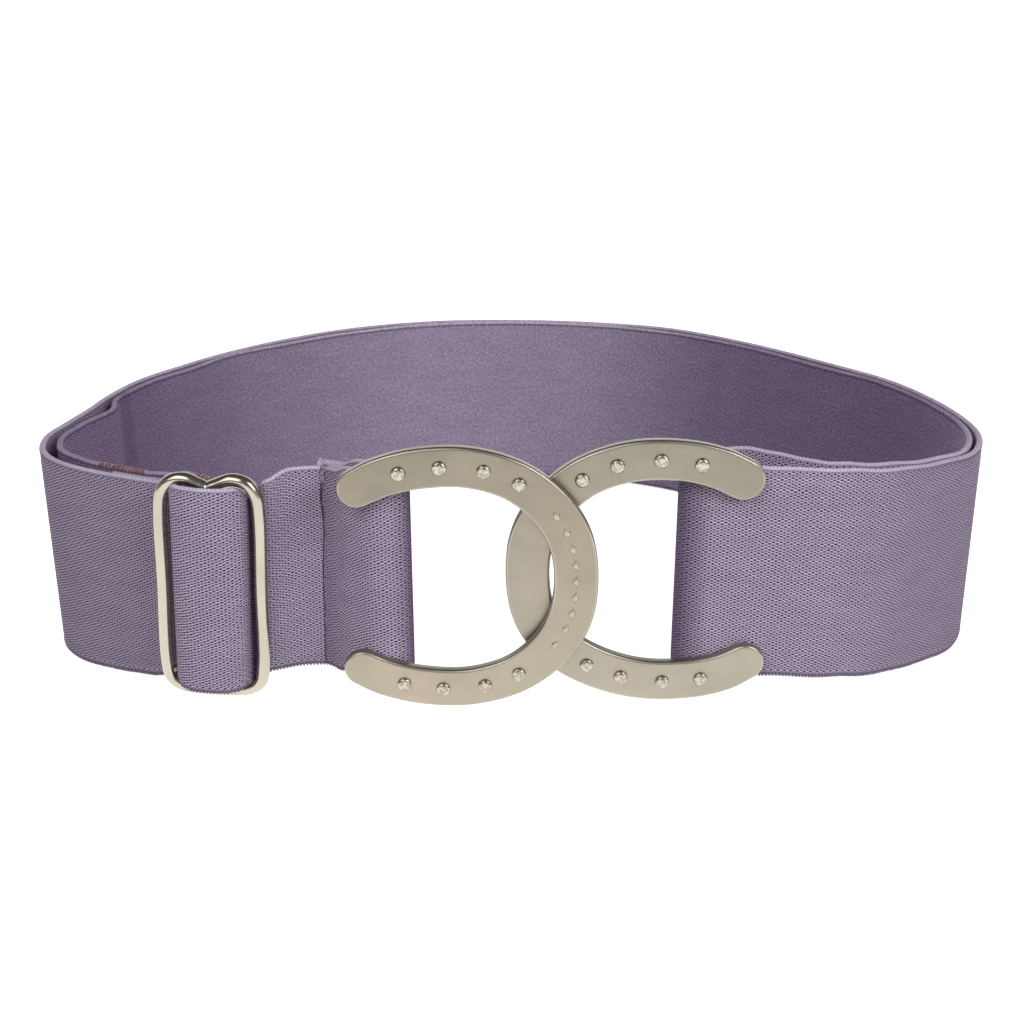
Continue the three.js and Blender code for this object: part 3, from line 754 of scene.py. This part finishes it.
def elastic_material():
    """The webbing: staggered holes between diagonal threads, smooth rims, dots beside them."""
    s = Shader("lilac_elastic")
    place = s.node("UVMap", uv_map=PLACE_MAP).outputs["UV"]
    look_and_shading = s.node("Attribute", attribute_name=LOOK_AND_SHADING_NAME).outputs["Vector"]
    # The look's third part is painted light and shade: lighter on the lit front, darker in folds.
    open_, twill, painted_shading = s.parts(look_and_shading)
    along, up, _ = s.parts(place)
    closed = s.between(open_, *CLOSING)
    sway = s.times(s.swinging(place, SWAY["scale"]), SWAY["by"])
    lift = s.times(s.swinging(place, LIFT["scale"], LIFT["stretch"]), LIFT["by"])
    columns = s.times(s.plus(along, sway), 1 / HOLE_PITCH)
    rows = s.times(s.plus(up, lift), 1 / ROW_PITCH)
    patches = s.between(s.noise(place, PATCHES["scale"], 3.0), 0.25, 0.75)
    patchy = s.plus(s.times(patches, PATCHES["by"]), PATCHES["least"])
    field = s.times(s.between(up, *WEAVE_FROM), s.between(up, *WEAVE_TO))
    lattice = weave_lattice(s, columns, rows, twill)
    depth = s.times(s.times(s.times(lattice, patchy), open_), field)
    hole = s.between(depth, *HOLE_DEPTHS)
    knot = s.between(depth, *KNOT_DEPTHS)
    dark = s.math("MAXIMUM", hole, edge_gaps(s, columns, rows, up, closed))
    thread = s.mixed(knot, ELASTIC_MID, ELASTIC_LIGHT)
    ribs = s.mixed(s.between(s.wave(s.times(columns, 2.0)), *RIB_WAVE), *RIM_SHADES)
    thread = s.mixed(s.between(up, *RIM_FROM), thread, ribs)
    colour = s.mixed(dark, thread, ELASTIC_DARK)
    # Painted shade tint: where the painted shading is dark, the colour turns bluer and purpler.
    shade = s.between(painted_shading, *SHADE_TONES)
    colour = s.mixed(shade, colour, s.tinted(colour, SHADE_TINT))
    colour = s.shaded(colour, fabric_shine(s, place, painted_shading, closed))
    height = s.math("SUBTRACT", s.times(knot, 0.5), dark)
    normal = s.bump(s.noise(place, 5.0), 0.05 * MM, 0.5)
    normal = s.bump(height, 0.2 * MM, 0.8, normal)
    s.set(Base_Color=colour, Roughness=0.88, Specular_IOR_Level=0.08, Normal=normal)
    s.set(Sheen_Weight=0.08, Sheen_Roughness=0.5, Sheen_Tint=SHEEN_TINT)
    return s.material


def drawn_elastic_material():
    """Fabric that is drawn too tight to show its holes."""
    s = Shader("drawn_elastic")
    place = s.place()
    grain = s.between(s.noise(place, 1400.0, 3.0), 0.3, 0.7)
    s.set(Base_Color=s.mixed(grain, *DRAWN_SHADES), Roughness=0.88, Specular_IOR_Level=0.2)
    s.set(Normal=s.bump(s.noise(place, 2600.0), 0.08 * MM, 0.7))
    return s.material


def yarn_material(name, yarn):
    """Twisted yarn that varies between two shades."""
    s = Shader(name)
    place = s.place()
    share = s.between(s.noise(place, yarn["scale"], 3.0), 0.35, 0.65)
    twist = s.noise(place, yarn["scale"] * 4, stretch=(1, 1, 2))
    colour = s.mixed(share, *yarn["shades"])
    s.set(Base_Color=colour, Roughness=0.8, Sheen_Weight=0.2, Specular_IOR_Level=0.3)
    s.set(Normal=s.bump(twist, 0.05 * MM, 0.6))
    return s.material


def nickel_material(name, finish):
    """Cast and plated metal: a cloudy tint, a fine grain and a few finger marks."""
    s = Shader(name)
    place = s.place()
    cloud = s.between(s.noise(place, METAL_NOISE["cloud"], 3.0), 0.3, 0.7)
    smear = s.between(s.noise(place, METAL_NOISE["smear"], 4.0, (1, 1, 2.5)), 0.25, 0.75)
    smooth, roughest = finish["rough"]
    rough = s.plus(smooth, s.times(smear, roughest - smooth))
    colour = s.mixed(cloud, *finish["shades"])
    # Painted light: the colour is made paler low down and darker high up.
    if finish["shine"]:
        low, high = finish["shine"]
        height = s.between(s.parts(place)[2], *PAINTED_LIGHT_HEIGHTS, smooth=False)
        colour = s.shaded(colour, s.plus(s.times(height, high - low), low))
    s.set(Base_Color=colour, Metallic=1.0, Roughness=rough)
    ripple = s.bump(s.noise(place, METAL_NOISE["ripple"]), 0.05 * MM, 0.35)
    grain = s.noise(place, METAL_NOISE["grain"], 3.0)
    s.set(Normal=s.bump(grain, 0.006 * MM, finish["grain"], ripple))
    return s.material


def nail_material():
    """Bright faceted metal, dented all over, that glints in small specks."""
    s = Shader("glinting_nails")
    place = s.place()
    share = s.between(s.noise(place, NAIL_NOISE["glint"]), 0.42, 0.6)
    s.set(Base_Color=s.mixed(share, *NAIL_SHADES), Metallic=1.0, Roughness=0.24)
    s.set(Normal=s.bump(s.noise(place, NAIL_NOISE["dents"]), 0.1 * MM, 1.0))
    return s.material


def table_material():
    """A white table that hardly takes a shadow."""
    s = Shader("white_table")
    tint = s.mixed(s.noise(s.place(), 3.0), *TABLE_SHADES)
    s.set(Base_Color=tint, Roughness=0.9, Specular_IOR_Level=0.1)
    s.set(Emission_Color=(1, 1, 1, 1), Emission_Strength=TABLE_GLOW)
    return s.material


# The strap


def cad_rings(node):
    """The CAD strap's rings from hem to tail, as rows of (foot x, y, z, head x, y, z).

    Each ring has eight corners. The walk starts at the hem's end and goes from each ring
    to the corners that are linked with it and weren't met before.
    """
    corners = np.array([vert.co[:] for vert in node.data.vertices]) / MM
    places, index = np.unique(corners.round(3), axis=0, return_inverse=True)
    index = index.ravel()
    links = [set() for _ in places]
    for edge in node.data.edges:
        a, b = (index[i] for i in edge.vertices)
        links[a].add(b)
        links[b].add(a)
    reach = 0.6 * STRAP_THICK
    ends = [np.linalg.norm(places - end, axis=1) for end in (HEM_FOOT, HEM_HEAD)]
    ring = set(np.flatnonzero(np.minimum(*ends) < reach).tolist())
    met = set(ring)
    rows = []
    while ring:
        by_height = places[sorted(ring, key=lambda i: places[i][2])]
        rows.append([*by_height[:2].mean(0), *by_height[-2:].mean(0)])
        ring = {other for i in ring for other in links[i]} - met
        met |= ring
    return np.array(rows)


class Course:
    """The strap's smooth course: its lower and upper edge and the way it faces."""

    def __init__(self, node):
        rows = smoothed(cad_rings(node), COURSE_CUTS)
        self.foot = rows[:, :3]
        self.head = rows[:, 3:]
        middle = ((self.foot + self.head) / 2)[:, :2]
        way = directions(middle)
        self.inward = np.column_stack([way[:, 1], -way[:, 0], np.zeros(len(way))])
        steps = np.linalg.norm(np.diff(middle, axis=0), axis=1)
        self.along = np.concatenate([[0], steps.cumsum()]) - HEM_LENGTH
        self.head[:, 2] += np.interp(self.along, *zip(*HEAD_RISE))
        self.foot[:, 2] -= np.interp(self.along, *zip(*FOOT_DROP))

    def at(self, along, up, side=0.0):
        """Points at places along the strap, up it, and to the side that faces in."""

        def there(rows):
            return np.column_stack([np.interp(along, self.along, column) for column in rows.T])

        share = np.reshape(np.asarray(up) / STRAP_WIDTH, (-1, 1))
        foot, head, inward = there(self.foot), there(self.head), there(self.inward)
        return foot + (head - foot) * share + inward * np.reshape(side, (-1, 1))

    def line(self, places):
        """Points for rows of (along, up, side)."""
        along, up, side = np.array(places, float).T
        return self.at(along, up, side)


def strap_section():
    """(side, up) rows round the strap: a bead at each edge, a thinner body between."""
    arc = [math.radians(turn) for turn in BEAD_TURNS]
    bead = [(BEAD_RADIUS * math.cos(a), BEAD_RADIUS * math.sin(a)) for a in arc]
    low = TOOTH_DEPTH + BEAD_RADIUS
    high = STRAP_WIDTH - BEAD_RADIUS
    heights = np.linspace(BODY_FROM, STRAP_WIDTH - BODY_FROM, BODY_ROWS)
    side = [(x, low - z) for x, z in bead[::-1]]
    side.append((NECK_HALF, low + NECK_UP))
    side += [(BODY_HALF, up) for up in heights]
    side.append((NECK_HALF, high - NECK_UP))
    side += [(x, high + z) for x, z in bead]
    back = [(-x, up) for x, up in side[::-1]]
    return side + [(0.0, STRAP_WIDTH)] + back + [(0.0, TOOTH_DEPTH)]


def strap_webbing(course):
    """The strap itself, in one piece from hem to tail."""
    section = strap_section()
    rings = []
    for i in range(len(course.along)):
        foot, rise, inward = course.foot[i], course.head[i] - course.foot[i], course.inward[i]
        rings.append([foot + rise * (up / STRAP_WIDTH) + inward * side for side, up in section])
    piece = made("strap_webbing", skin(rings), [elastic_material()], "strap")
    paint_places(piece.data, course, section)
    return piece


def paint_places(mesh, course, section):
    """Writes where each point lies on the strap, how the weave looks there, and its painted shade.
    """
    along = np.repeat(course.along, len(section))
    up = np.tile([row[1] for row in section], len(course.along))
    corner = np.zeros(len(mesh.loops), np.int32)
    mesh.loops.foreach_get("vertex_index", corner)
    layer = mesh.uv_layers.new(name=PLACE_MAP)
    layer.uv.foreach_set("vector", np.column_stack([along, up])[corner].astype(np.float32).ravel())
    looks = []
    for key in ("open", "twill", "painted_shading"):
        stops = [(row["at"], row[key]) for row in WEAVE_AND_SHADING_ALONG]
        looks.append(np.interp(along, *zip(*stops)))
    look_and_shading = mesh.attributes.new(LOOK_AND_SHADING_NAME, "FLOAT_VECTOR", "POINT")
    look_and_shading.data.foreach_set("vector", np.column_stack(looks).astype(np.float32).ravel())


def strap_teeth(course):
    """The knobs that the weft makes round the lower edge."""
    knob = turned(KNOB_PROFILE, FINE_SIDES)
    knob["points"] = knob["points"] * KNOB_STRETCH
    along = np.arange(course.along[0] + TOOTH_PITCH, course.along[-1], TOOTH_PITCH)
    origins = course.at(along, KNOB_UP)
    ways = course.at(along + 0.1, KNOB_UP) - course.at(along - 0.1, KNOB_UP)
    rise = np.array((0, 0, 1))
    places = []
    for origin, way in zip(origins, ways):
        way = way / np.linalg.norm(way)
        places.append((origin, np.array([way, np.cross(way, rise), rise - KNOB_LEAN * way])))
    yarn = yarn_material("selvedge_thread", KNOB_YARN)
    return made("strap_lower_knobs", stamped(knob, places), [yarn])


def seam_place(up):
    """How far along the strap the seam runs at a height."""
    return np.interp(up, *zip(*SEAM_COURSE))


def seam_line(course):
    """The sewing thread, drawn tight into the front of the strap in a wavy line; dark, it paints
    the crease's shade.
    """
    up = np.linspace(SEAM_END, STRAP_WIDTH - SEAM_END, SEAM_POINTS)
    side = -BODY_HALF + SEAM_SWAY + SEAM_SWAY * np.sin(up * SEAM_RATES["side"])
    along = seam_place(up) + SEAM_SWAY * np.sin(up * SEAM_RATES["along"])
    thread = tube(course.at(along, up, side), np.interp(up, *zip(*SEAM_THREAD)), ROUND_SIDES)
    return made("seam_line", thread, [yarn_material("seam_thread_and_painted_shade", SEAM_YARN_AND_SHADE)])


def seam_puckers(course):
    """Little swellings beside the seam, where each stitch pulls the fabric in."""
    rows = [(math.sin(math.radians(a)), -math.cos(math.radians(a))) for a in range(10, 180, 20)]
    pucker = turned(rows, 12)
    pucker["points"] = pucker["points"] * PUCKER_HALF
    places = []
    for i, up in enumerate(np.arange(PUCKER_FROM, WRAP_LOW[0], PUCKER_PITCH)):
        along = seam_place(up) - unsteady(i, *PUCKER_ASIDE)
        lean = unsteady(i, *PUCKER_LEAN)
        axes = np.array([(1, 0, lean), (0, 1, 0), (-lean, 0, 1)]) * unsteady(i, *PUCKER_SIZE)
        places.append((course.at(along, up, -BODY_HALF)[0], axes))
    fabric = drawn_elastic_material()
    return made("seam_puckers", stamped(pucker, places), [fabric])


def yarn_tube(course, places, radius, sides=FINE_SIDES, cuts=THREAD_CUTS, slot=0):
    """A thread through (along, up, side) places."""
    return tube(smoothed(course.line(places), cuts), radius, sides, slot=slot)


def seam_wrap(course):
    """The sewing thread, wound over the upper edge to finish the seam."""
    parts = []
    for i in range(WRAP_TURNS):
        along = THREADS_AT + WRAP_WIDTH * (i / (WRAP_TURNS - 1) - 0.5)
        low = unsteady(i, *WRAP_LOW)
        rows = [(along + shift, low + rise, side) for shift, rise, side in WRAP_START]
        rows += [(along, up, side) for up, side in WRAP_OVER]
        parts.append(yarn_tube(course, rows, WRAP_THREAD, ROUND_SIDES))
    yarn = yarn_material("violet_thread", WRAP_YARN)
    return made("seam_wrap", joined(parts), [yarn])


def thread_ends(course):
    """Cut ends of the sewing thread that stand up at the seam, and ends that run off from it."""
    parts = []
    out, up = END_BEND
    for i, (lean, rise) in enumerate(THREAD_END_TIPS):
        start = THREADS_AT - 0.2 * lean
        rows = [(start, END_LOW, -0.75), (start + out * lean, END_EDGE + up * rise, -0.5)]
        rows.append((start + lean, END_EDGE + rise, -0.4 + 0.2 * (i % 2)))
        parts.append(yarn_tube(course, rows, THREAD_END))
    parts += [yarn_tube(course, rows, LOOSE_THREAD) for rows in LOOSE_THREADS]
    yarn = yarn_material("pale_thread", END_YARN)
    return made("seam_thread_ends", joined(parts), [yarn])


def stray_fibres(course):
    """A few hairs on the inside of the loop."""
    parts = [yarn_tube(course, rows, FIBRE_RADIUS) for rows in STRAY_FIBRES]
    yarn = yarn_material("fibre", FIBRE_YARN)
    return made("stray_fibres", joined(parts), [yarn])


def whip_stitches(course):
    """Close slanting stitches over the inner layer's upper edge, a few of them paler."""
    parts = []
    low_side, high_side = WHIP_SIDES
    for row in WHIP_STITCHES:
        for i, along in enumerate(np.arange(row["from"], row["to"], WHIP_PITCH)):
            drop, bulge = unsteady(i, *WHIP_DROP), unsteady(i, *WHIP_BULGE)
            rows = [
                (along - WHIP_SLANT, drop, -low_side),
                (along - WHIP_SLANT / 2, WHIP_SHOULDER, -high_side - bulge),
                (along, WHIP_TOP + bulge, 0.0),
                (along + WHIP_SLANT / 2, WHIP_SHOULDER, high_side),
                (along + WHIP_SLANT, drop, low_side),
            ]
            pale = math.sin(2.4 * i + 0.7 * math.sin(i)) > WHIP_PALE
            parts.append(yarn_tube(course, rows, WHIP_THREAD, ROUND_SIDES, WHIP_CUTS, int(pale)))
    brown = yarn_material("brown_thread", WHIP_YARN)
    pale_brown = yarn_material("pale_brown_thread", PALE_WHIP_YARN)
    return made("whip_stitches", joined(parts), [brown, pale_brown])


# The horseshoes


def shoe_line(shoe):
    """The middle line of a horseshoe from tip to tip, as rows of (along, off, width)."""
    lower = [(along, -off, width) for along, off, width in shoe["lower"][:0:-1]]
    return smoothed(lower + shoe["upper"], SHOE_CUTS)


def shoe_edge(line, halves):
    """A closed line beside the middle line, at half the given width, round both tips."""
    way = directions(line[:, :2])
    angle = np.unwrap(np.arctan2(way[:, 1], way[:, 0]))

    def beside(i, turn):
        heading = angle[i] + turn
        return line[i, :2] + halves[i] * np.array([math.cos(heading), math.sin(heading)])

    last = len(line) - 1
    turns = [math.pi / 2 - math.pi * k / TIP_CUTS for k in range(1, TIP_CUTS)]
    edge = [beside(i, math.pi / 2) for i in range(last + 1)]
    edge += [beside(last, turn) for turn in turns]
    edge += [beside(i, -math.pi / 2) for i in range(last, -1, -1)]
    edge += [beside(0, turn - math.pi) for turn in turns]
    return np.array(edge)


def on_plate(shoe, along, off, depth=0.0):
    """Where a place on a plate stands. The right plate is turned and raised in its plane."""
    pose = shoe["stance"]
    cos, sin = math.cos(pose["turn"]), math.sin(pose["turn"])
    aside = shoe["reach"] * (np.asarray(along) - pose["about"])
    x = shoe["toe"] + shoe["reach"] * pose["about"] + aside * cos - off * sin
    z = PLATE_MIDDLE + pose["raise"] + aside * sin + off * cos
    return np.stack([x, np.full_like(x, shoe["front"] + depth), z], axis=-1)


def shoe_plate(shoe):
    """The flat plate: a slightly crowned face, rounded edges, and a plain back."""
    line = shoe_line(shoe)
    flat = line[:, 2] / 2 - PLATE_BEVEL
    rings = [(flat * share, -PLATE_CROWN * (1 - share**2)) for share in FACE_SHARES]
    for turn in BEVEL_TURNS:
        out, down = math.sin(math.radians(turn)), 1 - math.cos(math.radians(turn))
        rings.append((flat + PLATE_BEVEL * out, PLATE_BEVEL * down))
    rings += [(half, PLATE_THICK - max(depth, 0)) for half, depth in rings[::-1]]
    loops = []
    for half, depth in rings:
        edge = shoe_edge(line, half)
        loops.append(on_plate(shoe, edge[:, 0], edge[:, 1], depth))
    plate = skin(loops)
    around = len(loops[0])
    face_rings = len(FACE_SHARES)
    on_edge = range(face_rings * around, (len(loops) - face_rings - 1) * around)
    plate["slots"] = [1 if i in on_edge else 0 for i in range(len(plate["faces"]))]
    return plate


def branch_height(shoe, along, side):
    """How far above or below the middle a branch's middle line runs."""
    line = shoe_line(shoe)
    branch = line[line[:, 1] * side >= 0]
    branch = branch[branch[:, 0].argsort()]
    return np.interp(along, branch[:, 0], branch[:, 1])


def nail_heads(shoe):
    """Four raised nail heads on each branch."""
    nail = turned(NAIL_PROFILE, NAIL_SIDES, slot=2)
    nail["points"] = nail["points"] @ np.array([(1, 0, 0), (0, 0, 1), (0, -1, 0)])
    places = []
    for along in NAIL_ALONG:
        for side in (-1, 1):
            places.append((on_plate(shoe, along, branch_height(shoe, along, side)), np.eye(3)))
    return stamped(nail, places)


def lozenges(shoe):
    """A row of plain raised lozenges on the toe, each along the toe's line."""
    line = shoe_line(shoe)
    corners = [(LOZENGE_SHORT, 0), (0, LOZENGE_LONG), (-LOZENGE_SHORT, 0), (0, -LOZENGE_LONG)]
    rings = []
    for size, depth in LOZENGE_RINGS:
        rings.append([(size * x, depth, size * z) for x, z in corners])
    stump = skin(rings, slot=1)
    places = []
    for off in LOZENGE_OFFS:
        near = np.abs(line[:, 1] - off).argmin()
        along = np.interp(off, line[:, 1], line[:, 0])
        step = line[near + 1] - line[near - 1]
        lean = math.atan2(shoe["reach"] * step[0], step[1])
        cos, sin = math.cos(lean), math.sin(lean)
        axes = np.array([(cos, 0, -sin), (0, 1, 0), (sin, 0, cos)])
        places.append((on_plate(shoe, along, off), axes))
    return stamped(stump, places)


def bar_and_lugs(shoe, slack=0.0):
    """The upright bar behind the plate that the strap goes round, and its two lugs."""
    back = shoe["front"] + PLATE_THICK
    y = back + LAYER_GAP + STRAP_THICK / 2 + WRAP_RADIUS + slack
    reach = LUG_INNER + LUG_THICK / 2
    ends = [(shoe["bar"], y, PLATE_MIDDLE - reach), (shoe["bar"], y, PLATE_MIDDLE + reach)]
    parts = [tube(np.linspace(*np.array(ends), 8), BAR_RADIUS, BAR_SIDES, slot=1)]
    for low in (PLATE_MIDDLE - LUG_INNER - LUG_THICK, PLATE_MIDDLE + LUG_INNER):
        near = (shoe["bar"] - LUG_WIDE / 2, back - SUNK, low)
        far = (shoe["bar"] + LUG_WIDE / 2, y + BAR_RADIUS + SUNK, low + LUG_THICK)
        parts.append(rounded_block(near, far, LUG_BEVEL))
    return parts


def hooks():
    """Two hooks behind the left toe that catch the right toe."""
    back = LEFT_SHOE["front"] + PLATE_THICK
    lip = RIGHT_SHOE["front"] + PLATE_THICK + HOOK_GAP
    stem, end = HOOK_STEM
    parts = []
    for off in HOOK_OFFS:
        low = PLATE_MIDDLE + off - HOOK_HALF
        far = (end, lip + HOOK_THICK, PLATE_MIDDLE + off + HOOK_HALF)
        parts.append(rounded_block((stem, back - SUNK, low), far, HOOK_BEVEL))
        parts.append(rounded_block((HOOK_TIP, lip, low), far, HOOK_BEVEL))
    return parts


def horseshoes():
    """The buckle's two halves, with the left one in front."""
    bright, glinting = nickel_material("polished_edge", EDGE_NICKEL), nail_material()
    left = [shoe_plate(LEFT_SHOE), nail_heads(LEFT_SHOE), lozenges(LEFT_SHOE)]
    left += bar_and_lugs(LEFT_SHOE) + hooks()
    looks = [nickel_material("satin_nickel_left", LEFT_NICKEL), bright, glinting]
    made("left_horseshoe", joined(left), looks, "horseshoe_left")
    right = [shoe_plate(RIGHT_SHOE), nail_heads(RIGHT_SHOE)]
    right += bar_and_lugs(RIGHT_SHOE, RIGHT_SLACK)
    looks = [nickel_material("satin_nickel_right", RIGHT_NICKEL), bright, glinting]
    made("right_horseshoe", joined(right), looks, "horseshoe_right")


# The slider


def slider():
    """A closed frame of bent wire with a middle bar, soldered at both ends."""
    rows = [(along, 0.0, up) for along, up in SLIDER_OUTLINE]
    outline = smoothed(rows, SLIDER_CUTS, closed=True)
    rise = np.linspace(SLIDER_BOTTOM, SLIDER_TOP, BAR_POINTS)
    ends = np.minimum(rise - SLIDER_BOTTOM, SLIDER_TOP - rise)
    swell = WIRE_RADIUS + SOLDER["swell"] * np.exp(-ends / SOLDER["fade"])
    bar = np.column_stack([np.zeros(BAR_POINTS), np.zeros(BAR_POINTS), rise])
    ring = tube(outline, WIRE_RADIUS, WIRE_SIDES, closed=True)
    wire = joined([ring, tube(bar, swell, WIRE_SIDES)])
    cos, sin = math.cos(SLIDER_ROLL), math.sin(SLIDER_ROLL)
    x, y, z = wire["points"].T
    x, z = x * cos + z * sin, z * cos - x * sin
    cos, sin = math.cos(SLIDER_YAW), math.sin(SLIDER_YAW)
    x, y = x * cos + y * sin, y * cos - x * sin
    wire["points"] = np.column_stack([x, y, z]) + SLIDER_PLACE
    nickel = nickel_material("polished_wire", WIRE_NICKEL)
    return made("slider_wire", wire, [nickel], "slider")


# The room


def light(name, place, size, watts):
    """A soft rectangular lamp that shines at the belt."""
    data = bpy.data.lights.new(name, "AREA")
    data.shape = "RECTANGLE"
    data.size, data.size_y = size
    data.energy = watts
    lamp = bpy.data.objects.new(name, data)
    lamp.location = place
    x, y, z = np.array(LIGHT_AIM) - np.array(place)
    lamp.rotation_euler = (math.atan2(math.hypot(x, y), -z), 0, math.atan2(y, x) - math.pi / 2)
    bpy.context.scene.collection.objects.link(lamp)


def surroundings():
    """A room with a dim ceiling and a bright wall behind the belt."""
    world = bpy.data.worlds.new("room")
    bpy.context.scene.world = world
    world.use_nodes = True
    s = Nodes(world.node_tree)
    _, back, height = s.parts(s.node("TexCoord").outputs["Generated"])
    ramp = s.node("ValToRGB", {0: height})
    stops = ramp.color_ramp.elements
    stops[0].position, stops[0].color = 0.0, ROOM_LOW
    stops[1].position, stops[1].color = ROOM_HIGH_AT, ROOM_HIGH
    for position, shine in ROOM_SHINE:
        stops.new(position).color = (shine, shine, shine, 1)
    wall = s.times(s.between(back, *BACKDROP_NEAR), s.between(height, *BACKDROP_TOP))
    shine = s.math("MULTIPLY_ADD", wall, BACKDROP_SHINE, ramp.outputs["Color"])
    background = s.tree.nodes["Background"]
    s.join(shine, background.inputs["Color"])
    background.inputs["Strength"].default_value = 1.0


def table():
    """The pale table that the belt stands on."""
    cuts = {"x_subdivisions": TABLE_CUTS, "y_subdivisions": TABLE_CUTS}
    bpy.ops.mesh.primitive_grid_add(size=TABLE_SIZE, **cuts)
    floor = bpy.context.object
    floor.name = "table"
    floor.location = (0, 0, TABLE_TOP)
    floor.data.materials.append(table_material())
    floor.visible_diffuse = False


def camera():
    """The camera, at the photograph's viewing angle."""
    data = bpy.data.cameras.new("camera")
    data.sensor_width = CAMERA_SENSOR
    data.lens = CAMERA_LENS
    data.clip_start = CAMERA_CLIP
    eye = bpy.data.objects.new("camera", data)
    eye.location = [c * MM for c in CAMERA_PLACE]
    eye.rotation_euler = (math.radians(90 - CAMERA_DOWN), 0, 0)
    bpy.context.scene.collection.objects.link(eye)
    bpy.context.scene.camera = eye


bpy.context.scene.view_settings.view_transform = "Standard"
camera()
surroundings()
for row in LIGHTS:
    light(**row)
table()
course = Course(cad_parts["strap"])
strap_webbing(course)
strap_teeth(course)
seam_line(course)
seam_puckers(course)
seam_wrap(course)
thread_ends(course)
stray_fibres(course)
whip_stitches(course)
horseshoes()
slider()
